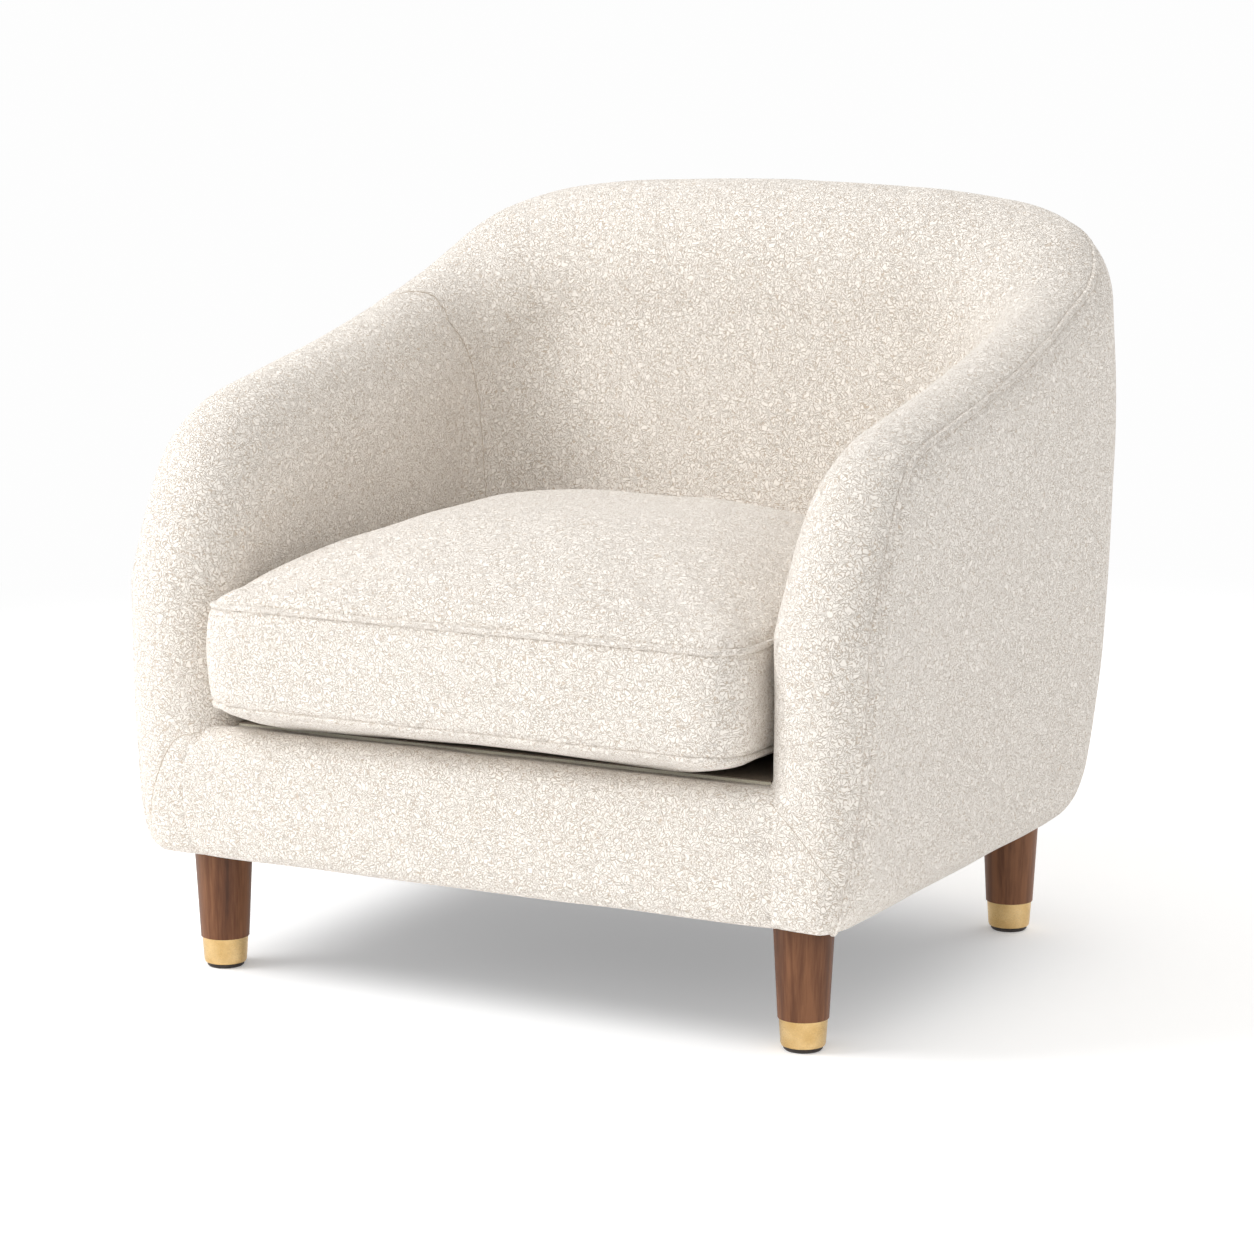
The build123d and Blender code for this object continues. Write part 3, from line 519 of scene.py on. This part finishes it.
def grained_material(name, dark, light, scale, rough, stretch=(1.0, 1.0, 1.0), metallic=0.0):
    """Fine two-tone grain, for the small and inner parts."""
    m = Nodes(name)
    place = m.add("ShaderNodeTexCoord").outputs["Object"]
    turned = m.add("ShaderNodeMapping", {"Vector": place, "Scale": stretch})
    grain = m.add("ShaderNodeTexNoise", {"Vector": turned.outputs[0], "Scale": scale,
                                         "Detail": 4.0})
    color = m.ramp(grain.outputs["Fac"], [(0.35, dark), (0.65, light)])
    bump = m.add("ShaderNodeBump", {"Height": grain.outputs["Fac"], "Strength": 0.2,
                                    "Distance": 0.0004})
    m.surface(Base_Color=color, Roughness=rough, Normal=bump.outputs[0], Metallic=metallic)
    return m.material


LIGHT = (0.955, 0.900, 0.832)
# The second bouclé colour is painted shade, laid into the creases between the nubs; the first is
# the yarn's own cream.
PAINTED_CREASE_SHADE = (0.64, 0.54, 0.44)
boucle = boucle_material("boucle", LIGHT, PAINTED_CREASE_SHADE)
materials = {
    "boucle": boucle,
    "welt": boucle_material("boucle_welt", LIGHT, PAINTED_CREASE_SHADE, 1.15),
    "walnut": walnut_material("walnut"),
    "brass": brass_material("brushed_brass"),
    "glide": grained_material("glide_plastic", (0.018, 0.012, 0.010), (0.035, 0.025, 0.02),
                              400.0, 0.5),
    "steel": grained_material("zinc_steel", (0.45, 0.45, 0.46), (0.62, 0.62, 0.63), 300.0, 0.35,
                              metallic=1.0),
    "timber": grained_material("beech", (0.55, 0.36, 0.20), (0.72, 0.52, 0.33), 60.0, 0.6,
                               (0.1, 1.0, 1.0)),
    "plywood": grained_material("plywood", (0.62, 0.45, 0.27), (0.78, 0.62, 0.42), 50.0, 0.6,
                                (1.0, 0.12, 1.0)),
    "foam": grained_material("foam", (0.75, 0.72, 0.58), (0.85, 0.82, 0.70), 700.0, 0.9),
    "webbing": grained_material("webbing", (0.02, 0.02, 0.02), (0.06, 0.06, 0.06), 500.0, 0.8),
    "lining": grained_material("lining", (0.02, 0.02, 0.022), (0.045, 0.045, 0.05), 900.0, 0.9),
    "zip": grained_material("zip_tape", (0.60, 0.55, 0.47), (0.75, 0.70, 0.62), 900.0, 0.8),
}


deck_cloth = grained_material("deck_cloth", (0.22, 0.18, 0.14), (0.31, 0.26, 0.21), 900.0, 0.9)


def paint(piece, material):
    piece.data.materials.clear()
    piece.data.materials.append(material)


def paint_frame():
    slots = {row["node"]: row["material_slot"] for row in frame["record"]["subparts"]}
    for node, piece in frame["nodes"].items():
        paint(piece, materials[slots[node]])
    paint(frame["nodes"]["deck_cover"], deck_cloth)


paint_frame()

# ---- Covers on the tub ---------------------------------------------------------------------
OUT_SHARES = [(z - HEM) / (ROLL_LOW - HEM) for z in front_heights]
IN_SHARES = [(z - INSIDE_LOW) / (ROLL_LOW - INSIDE_LOW) for z in front_heights[LOW_ROWS:]]
EDGE_STEPS = 16
INSIDE_STEPS = 52


def edge_angles(station):
    """From the outer foot of the crown up to the welt."""
    return [station.welt * (1 - (1 - k / EDGE_STEPS) ** 1.4) for k in range(EDGE_STEPS + 1)]


def inside_angles(station):
    """From the welt over the crown to its inner foot."""
    rest = 180 - station.welt
    return [station.welt + rest * (k / INSIDE_STEPS) ** 1.2 for k in range(INSIDE_STEPS + 1)]


def outside_grids():
    """Right half of the outside cover: the flank, the strip up to the welt, the front strip."""
    wall = [[moved(s.outer_face(f)) for f in OUT_SHARES]
            + [moved(s.crown(a)) for a in edge_angles(s)[1:]] for s in right_stations]
    front = [[moved(s.crown(a)) for a in edge_angles(s)] for s in upright_stations]
    return [np.array(wall), np.array(front)]


def inside_columns(stations):
    return [[moved(s.crown(a)) for a in inside_angles(s)]
            + [moved(s.inner_face(f)) for f in reversed(IN_SHARES[:-1])] for s in stations]


def make_outside_cover():
    right = outside_grids()
    return grids_object("outside_cover", right + [mirrored(g) for g in right])


def make_inside_cover():
    """Arm fronts, inside arms and inside back."""
    behind = NOSE_Y + CROWN_IN[1]
    front = np.array([[moved(s.crown(a)) for a in inside_angles(s)]
                      + [moved((INNER_X, behind + hem_tuck(s.spine[1]), s.spine[1]))]
                      for s in upright_stations])
    wall = np.array(inside_columns(right_stations))
    return grids_object("inside_cover", [front, wall, mirrored(front), mirrored(wall)])


def welt_path():
    """Centre of the outer welt, from one front corner round the back to the other."""
    right = [moved(s.crown(s.welt)) for s in upright_stations[1::2] + right_stations[::2]]
    centres = np.array(right)
    left = mirrored(centres[::-1])
    return np.concatenate([centres, left[1:]])


def ripple(piece, amount, size, seed):
    """Slight unevenness of hand upholstery: a low, broad wander of the surface."""
    vertices = piece.data.vertices
    normals = [vertex.normal.copy() for vertex in vertices]
    for vertex, normal in zip(vertices, normals):
        spot = vertex.co / size + Vector((seed, 0.0, 0.0))
        vertex.co += normal * (amount * noise.noise(spot))


def smooth_path(points, step=0.003):
    """Catmull-Rom curve through a few points, sampled evenly."""
    points = [Vector(p) for p in points]
    points = [2 * points[0] - points[1]] + points + [2 * points[-1] - points[-2]]
    line = []
    for i in range(1, len(points) - 2):
        a, b, c, d = points[i - 1:i + 3]
        count = max(2, int((c - b).length / step))
        for k in range(count):
            t = k / count
            line.append(0.5 * (2 * b + (c - a) * t + (2 * a - 5 * b + 4 * c - d) * t ** 2
                               + (3 * b - a - 3 * c + d) * t ** 3))
    line.append(points[-2])
    return line


def surface_tree(piece):
    return BVHTree.FromPolygons([v.co.copy() for v in piece.data.vertices],
                                [tuple(p.vertices) for p in piece.data.polygons])


def laid_on(line, piece, sink):
    """The line set down on a piece, sunk a little below the cloth."""
    tree = surface_tree(piece)
    laid = []
    for point in line:
        place, normal, *rest = tree.find_nearest(point)
        laid.append(place - normal * sink)
    return laid


def groove(piece, line, depth, width):
    """Draws the cloth in along a seam."""
    tree = kdtree.KDTree(len(line))
    for i, point in enumerate(line):
        tree.insert(point, i)
    tree.balance()
    normals = [vertex.normal.copy() for vertex in piece.data.vertices]
    for vertex, normal in zip(piece.data.vertices, normals):
        distance = tree.find(vertex.co)[2]
        if distance < 3 * width:
            vertex.co -= normal * (depth * math.exp(-(distance / width) ** 2))


def face_outward(piece, inside_point):
    """Turns the faces so that they look away from a point inside."""
    mesh = piece.data
    middle = Vector(inside_point)
    score = sum((p.center - middle).dot(p.normal) * p.area for p in mesh.polygons)
    if score < 0:
        mesh.flip_normals()


outside = make_outside_cover()
inside = make_inside_cover()


# ---- Front rail ----------------------------------------------------------------------------
RAIL_TURN = 0.022             # radius of the rail's rounded top edge
RAIL_FACE = -0.3070
RAIL_UNDER_DECK = 0.042       # how far the cover runs back under the deck's edge
DECK_SINK = 0.0032
BELOW_DECK = 0.0004
TUCK_BACK = 60.0              # how sharply the cover turns back past the seam
BLEND = 0.035                 # the face bends to meet the arm front over this width
PAST_SEAM = 1.032             # the cover runs this much past the seam, behind the arm front
LOW_STEPS = 30                # steps up the face, round the top edge and under the deck
TURN_STEPS = 10
UNDER_STEPS = 10
# Where the rail's cover meets the arm fronts: (height, distance from the middle).
right_seam = smooth_table([(0.123, 0.309), (0.150, 0.310), (0.253, 0.311)])
left_seam = smooth_table([(0.118, 0.306), (0.133, 0.316), (0.159, 0.324), (0.180, 0.327),
                          (0.208, 0.326), (0.230, 0.319), (0.247, 0.307)])


def nose_front(x, z):
    """The arm front's own surface at a distance x from the middle."""
    station = FrontStation(NOSE_Y, z, z - ROLL_LOW)
    swing = min(1.0, max(0.0, (RIDGE_X - x) / (RIDGE_X - INNER_X)))
    sink = 1 - math.sqrt(1 - swing ** 2)
    return NOSE_Y + station.inner_depth * sink + hem_tuck(z)


def rail_point(share, step, seam):
    """Point of the rail's cover: share from the middle to the seam and past it."""
    if step <= LOW_STEPS:
        z = HEM + (DECK_TOP - RAIL_TURN - HEM) * (step / LOW_STEPS) ** 1.3
        back = hem_tuck(z)
    elif step <= LOW_STEPS + TURN_STEPS:
        turn = math.pi / 2 * (step - LOW_STEPS) / TURN_STEPS
        z = DECK_TOP - RAIL_TURN + RAIL_TURN * math.sin(turn)
        back = RAIL_TURN - RAIL_TURN * math.cos(turn)
    else:
        run = (step - LOW_STEPS - TURN_STEPS) / UNDER_STEPS
        z = DECK_TOP - DECK_SINK * min(1.0, run / 0.45)
        back = RAIL_TURN + RAIL_UNDER_DECK * run
    edge = seam(z)
    x = share * edge
    below_turn = min(z, DECK_TOP - RAIL_TURN)
    meet = nose_front(edge, below_turn) - hem_tuck(below_turn)
    near = min(1.0, max(0.0, (abs(x) - edge + BLEND) / BLEND)) ** 2
    face = RAIL_FACE + (meet - RAIL_FACE) * near
    past = max(0.0, abs(x) - edge)
    return (x, face + back + TUCK_BACK * past ** 2, z - BELOW_DECK)


def make_front_rail():
    columns = []
    across = 150
    up = LOW_STEPS + TURN_STEPS + UNDER_STEPS
    for i in range(across + 1):
        share = (2 * i / across - 1) * PAST_SEAM
        seam = right_seam if share > 0 else left_seam
        columns.append([moved(rail_point(share, k, seam)) for k in range(up + 1)])
    return grids_object("front_rail_panel", [np.array(columns)])


rail = make_front_rail()

# ---- Seams in the covers -------------------------------------------------------------------
# Seam lines in the leg frame, in metres. The two arm fronts differ a little, as sewn by hand.
dart_right = [(0.306, -0.303, 0.246), (0.322, -0.305, 0.233), (0.345, -0.309, 0.210),
              (0.362, -0.308, 0.189), (0.379, -0.301, 0.170)]
dart_left = [(-0.307, -0.303, 0.250), (-0.332, -0.307, 0.242), (-0.345, -0.309, 0.228),
             (-0.354, -0.309, 0.211), (-0.363, -0.308, 0.190), (-0.369, -0.306, 0.168),
             (-0.370, -0.303, 0.150)]
corner_left = [(-0.372, 0.150, 0.630), (-0.345, 0.168, 0.645), (-0.322, 0.180, 0.638),
               (-0.301, 0.180, 0.612), (-0.292, 0.195, 0.579), (-0.289, 0.204, 0.545),
               (-0.286, 0.2075, 0.518), (-0.282, 0.208, 0.469), (-0.279, 0.2075, 0.437),
               (-0.277, 0.206, 0.400), (-0.275, 0.205, 0.340), (-0.275, 0.205, 0.290)]


def seam_points(table):
    return [moved(p) for p in table]


def flipped(points):
    return [(-p[0], p[1], p[2]) for p in points]


def rail_seam(seam, side):
    heights = [0.124, 0.128, 0.136, 0.150, 0.170, 0.190, 0.210, 0.228, 0.240, 0.248]
    return [moved((side * seam(z), nose_front(seam(z), z), z)) for z in heights]


SEAM_WIDTH = 0.0026
# The dark lines along the seams are painted shade: thin darker beige tubes sunk just under the
# cloth, standing in for the shadow in each fold.
SHADOW_LINE_SINK = 0.0002
seam_shadow_line = grained_material("seam_shadow_line", (0.50, 0.42, 0.34), (0.66, 0.58, 0.49), 900.0, 0.9)


def sew_with_shadow_line(name, points, depth=0.0013, radius=0.0005):
    """A seam: the cloth is drawn in, and a thin darker cord lies in the fold as a painted shadow
    line.
    """
    line = smooth_path(points)
    groove(inside, laid_on(line, inside, 0.0), depth, SEAM_WIDTH)
    shadow_tube = tube(name, laid_on(line, inside, SHADOW_LINE_SINK), radius, sides=8)
    paint(shadow_tube, seam_shadow_line)
    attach(shadow_tube, "chair")


RIPPLE_DEPTH = 0.0010
RIPPLE_SIZE = 0.075
for piece in (outside, inside, rail):
    paint(piece, boucle)
    ripple(piece, RIPPLE_DEPTH, RIPPLE_SIZE, 7.0)
sew_with_shadow_line("seam_shadow_dart_right", seam_points(dart_right), 0.0009, 0.0004)
sew_with_shadow_line("seam_shadow_dart_left", seam_points(dart_left))
sew_with_shadow_line("seam_shadow_rail_right", rail_seam(right_seam, 1))
sew_with_shadow_line("seam_shadow_rail_left", rail_seam(left_seam, -1))
sew_with_shadow_line("seam_shadow_corner_left", seam_points(corner_left))
sew_with_shadow_line("seam_shadow_corner_right", flipped(seam_points(corner_left[3:])))

for piece in (outside, inside, rail):
    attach(piece, "chair")
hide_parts("outside_arm_cover_left", "outside_arm_cover_right", "outside_back_cover",
            "arm_outer_pad_left", "arm_outer_pad_right", "back_outer_pad")
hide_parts("inside_arm_cover_right", "arm_front_cover_right", "arm_foam_right",
            "arm_front_foam_right", "inside_arm_cover_left", "arm_front_cover_left",
            "arm_foam_left", "arm_front_foam_left", "inside_back_cover", "back_foam")
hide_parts("front_rail_cover", "front_rail_foam")

welt = tube("outer_welt_cord", welt_path(), WELT_RADIUS)
paint(welt, materials["welt"])
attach(welt, "chair")
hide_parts("outer_welt")


# ---- Loose seat cushion --------------------------------------------------------------------
cushion_low, cushion_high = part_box("cushion_boxing")
WELT_LOW = cushion_low.z
WELT_HIGH = cushion_high.z
CUSHION_X = cushion_high.x
CUSHION_FRONT = cushion_low.y
CUSHION_BACK = cushion_high.y
CROWN_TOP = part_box("cushion_top_panel")[1].z
CUSHION_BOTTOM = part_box("cushion_bottom_panel")[0].z
CORNER_FRONT = 0.040
LEFT_BULGE = 0.013
BULGE_FROM = -0.255           # the bulge begins in front of this plane
BULGE_RUN = 0.055
CUSHION_WELT_RADIUS = 0.0032
CUSHION_WELT_PROUD = 0.0012
CORNER_BACK = 0.092


def cushion_outline(inset, count=200):
    """Points round the cushion's edge, drawn in by inset."""
    half = CUSHION_X - inset
    front = CUSHION_FRONT + inset
    back = CUSHION_BACK - inset
    cf = max(CORNER_FRONT - inset * 0.2, 0.030)
    cb = max(CORNER_BACK - inset * 0.3, 0.030)
    corners = [(half - cf, front + cf, cf, -90), (half - cb, back - cb, cb, 0),
               (-half + cb, back - cb, cb, 90), (-half + cf, front + cf, cf, 180)]
    dense = []
    for x, y, radius, start in corners:
        for k in range(33):
            turn = math.radians(start + 90 * k / 32)
            dense.append((x + radius * math.cos(turn), y + radius * math.sin(turn)))
    dense = np.array(dense + dense[:1])
    run = np.concatenate([[0], np.cumsum(np.linalg.norm(np.diff(dense, axis=0), axis=1))])
    spots = np.linspace(0, run[-1], count, endpoint=False)
    points = np.stack([np.interp(spots, run, dense[:, 0]), np.interp(spots, run, dense[:, 1])], 1)
    # In front of the left arm, where it has room, the loose cushion bulges sideways.
    room = np.clip((BULGE_FROM + OFFSET_Y - points[:, 1]) / BULGE_RUN, 0.0, 1.0)
    points[:, 0] -= np.where(points[:, 0] < 0, LEFT_BULGE * room ** 1.5, 0.0)
    return points


WELT_INSET = 0.0015
VOXEL = 0.009
SIM_FRAMES = 14
CROWN_START = 0.88            # share of the crown's height before the cloth is blown up
LAST_INSET = 0.235


def crown_share(x, y):
    """Height of the crowned top at a point, as a share of its height in the middle."""
    across = abs(x) / (CUSHION_X - WELT_INSET)
    middle = (CUSHION_FRONT + CUSHION_BACK) / 2
    along = abs(y - middle) / ((CUSHION_BACK - CUSHION_FRONT) / 2 - WELT_INSET)
    return (max(0.0, 1 - across ** 3) * max(0.0, 1 - along ** 3)) ** 0.36


def cushion_rings():
    """(inset, height or None on the crown) from the middle of the underside to the top's."""
    rings = []
    for k in range(14):
        inset = WELT_INSET + (LAST_INSET - WELT_INSET) * (1 - k / 14) ** 1.5
        depth = 1 - max(0.0, 1 - inset / 0.06) ** 2.2
        rings.append((inset, WELT_LOW - (WELT_LOW - CUSHION_BOTTOM - 0.001) * depth))
    rings.append((WELT_INSET, WELT_LOW))
    for k in range(1, 16):
        share = k / 16
        bulge = 0.003 * math.sin(math.pi * share)
        rings.append((WELT_INSET - bulge, WELT_LOW + (WELT_HIGH - WELT_LOW) * share))
    rings.append((WELT_INSET, WELT_HIGH))
    for k in range(1, 31):
        rings.append((WELT_INSET + (LAST_INSET - WELT_INSET) * (k / 30) ** 1.8, None))
    return rings


def make_cushion_body():
    verts = []
    rings = cushion_rings()
    count = 200
    crown = (CROWN_TOP - WELT_HIGH) * CROWN_START
    for inset, z in rings:
        for x, y in cushion_outline(inset, count):
            verts.append((x, y, WELT_HIGH + crown * crown_share(x, y) if z is None else z))
    faces = grid_faces(len(rings), count, 0, close=True)
    faces.append(tuple(reversed(range(count))))
    faces.append(tuple((len(rings) - 1) * count + j for j in range(count)))
    piece = mesh_object("seat_cushion", verts, faces)
    face_outward(piece, (0.0, -0.1, 0.33))
    return piece


def applied(piece):
    """Replaces the piece's mesh by what its modifiers make of it."""
    shown = piece.evaluated_get(bpy.context.evaluated_depsgraph_get())
    mesh = bpy.data.meshes.new_from_object(shown)
    piece.modifiers.clear()
    piece.data = mesh


def welt_line(z, count=320):
    return [Vector((x, y, z)) for x, y in cushion_outline(WELT_INSET, count)]


def inflate(piece, pinned_lines, pressure, limit):
    """Cloth simulation of a stuffed cover held along its welts, then applied to the mesh."""
    remesh = piece.modifiers.new("remesh", "REMESH")
    remesh.mode = "VOXEL"
    remesh.voxel_size = VOXEL
    applied(piece)
    tree = kdtree.KDTree(sum(len(line) for line in pinned_lines))
    for line in pinned_lines:
        for point in line:
            tree.insert(point, 0)
    tree.balance()
    pins = piece.vertex_groups.new(name="pins")
    for vertex in piece.data.vertices:
        if tree.find(vertex.co)[2] < 0.005:
            pins.add([vertex.index], 1.0, "REPLACE")
    start = np.array([vertex.co[:] for vertex in piece.data.vertices])
    cloth = piece.modifiers.new("cloth", "CLOTH")
    cloth.settings.quality = 3
    cloth.settings.use_pressure = True
    cloth.settings.uniform_pressure_force = pressure
    cloth.settings.vertex_group_mass = "pins"
    cloth.settings.effector_weights.gravity = 0.0
    cloth.point_cache.frame_start = 1
    cloth.point_cache.frame_end = SIM_FRAMES
    scene = bpy.context.scene
    for frame_number in range(1, SIM_FRAMES + 1):
        scene.frame_set(frame_number)
    applied(piece)
    scene.frame_set(1)
    end = np.array([vertex.co[:] for vertex in piece.data.vertices])
    move = end - start
    size = np.linalg.norm(move, axis=1)
    move *= np.minimum(1.0, limit / np.maximum(size, 1e-9))[:, None]
    piece.data.vertices.foreach_set("co", (start + move).ravel())
    piece.vertex_groups.clear()
    edit = bmesh.new()
    edit.from_mesh(piece.data)
    for turn in range(4):
        bmesh.ops.smooth_vert(edit, verts=edit.verts, factor=0.5, use_axis_x=True,
                              use_axis_y=True, use_axis_z=True)
    edit.to_mesh(piece.data)
    edit.free()
    finer = piece.modifiers.new("finer", "SUBSURF")
    finer.levels = 1
    finer.render_levels = 1
    applied(piece)
    for polygon in piece.data.polygons:
        polygon.use_smooth = True


def settle(piece):
    """Keeps the cushion on the deck: no point sinks below its underside's lowest height."""
    for vertex in piece.data.vertices:
        vertex.co.z = max(vertex.co.z, CUSHION_BOTTOM + 0.0005)


cushion = make_cushion_body()
inflate(cushion, [welt_line(WELT_LOW), welt_line(WELT_HIGH)], 4.0, 0.024)
settle(cushion)
ripple(cushion, 0.0014, 0.07, 3.0)
for height in (WELT_LOW, WELT_HIGH):
    groove(cushion, laid_on(welt_line(height), cushion, 0.0), 0.0022, 0.0055)
paint(cushion, boucle)
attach(cushion, "cushion")
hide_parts("cushion_top_panel", "cushion_bottom_panel", "cushion_boxing",
            "cushion_foam")


def cushion_welt(name, height, node):
    path = laid_on(welt_line(height), cushion, -CUSHION_WELT_PROUD)
    piece = tube(name, path, CUSHION_WELT_RADIUS, closed=True)
    paint(piece, materials["welt"])
    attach(piece, "cushion")
    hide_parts(node)


cushion_welt("cushion_welt_upper", WELT_HIGH, "cushion_welt_top")
cushion_welt("cushion_welt_lower", WELT_LOW, "cushion_welt_bottom")


# ---- Studio --------------------------------------------------------------------------------
def make_floor():
    mesh = bpy.data.meshes.new("floor")
    size = 90.0
    mesh.from_pydata([(-size, -size, 0), (size, -size, 0), (size, size, 0), (-size, size, 0)], [],
                     [(0, 1, 2, 3)])
    floor = bpy.data.objects.new("floor", mesh)
    bpy.context.scene.collection.objects.link(floor)
    m = Nodes("studio_floor")
    place = m.add("ShaderNodeTexCoord").outputs["Object"]
    away = m.add("ShaderNodeVectorMath", {0: place, 1: (0.1, 0.15, 0.0)}, operation="DISTANCE")
    far = m.add("ShaderNodeMapRange", {"Value": away.outputs["Value"], "From Min": 0.9,
                                       "From Max": 2.4}, interpolation_type="SMOOTHSTEP")
    glow = m.add("ShaderNodeEmission", {"Color": (1.0, 1.0, 1.0, 1.0), "Strength": 0.985})
    matt = m.add("ShaderNodeBsdfDiffuse", {"Color": (0.95, 0.95, 0.95, 1.0)})
    lift = m.add("ShaderNodeEmission", {"Color": (1.0, 1.0, 1.0, 1.0), "Strength": 0.27})
    near = m.add("ShaderNodeAddShader", {0: matt.outputs[0], 1: lift.outputs[0]})
    mix = m.add("ShaderNodeMixShader", {0: far.outputs[0], 1: near.outputs[0],
                                        2: glow.outputs[0]})
    output = m.tree.nodes["Material Output"]
    m.tree.links.new(mix.outputs[0], output.inputs["Surface"])
    mesh.materials.append(m.material)


def area_light(name, place, target, size, power):
    data = bpy.data.lights.new(name, "AREA")
    data.shape = "DISK"
    data.size = size
    data.energy = power
    light = bpy.data.objects.new(name, data)
    light.location = place
    direction = Vector(target) - Vector(place)
    light.rotation_euler = direction.to_track_quat("-Z", "Y").to_euler()
    bpy.context.scene.collection.objects.link(light)


def make_studio():
    make_floor()
    world = bpy.data.worlds.new("studio")
    bpy.context.scene.world = world
    world.use_nodes = True
    background = world.node_tree.nodes["Background"]
    background.inputs["Color"].default_value = (1.0, 0.995, 0.985, 1.0)
    background.inputs["Strength"].default_value = 0.69
    middle = (0.0, 0.0, 0.4)
    area_light("key", (-2.2, -1.7, 2.9), middle, 2.2, 85.0)
    area_light("front_fill", (0.4, -3.8, 1.6), middle, 2.2, 7.0)
    area_light("rim", (1.2, 2.4, 2.4), middle, 1.8, 14.0)
    area_light("strip", (-1.7, -1.1, 0.35), (0.0, -0.2, 0.1), 0.7, 3.0)
    bpy.context.scene.view_settings.view_transform = "Standard"


make_studio()
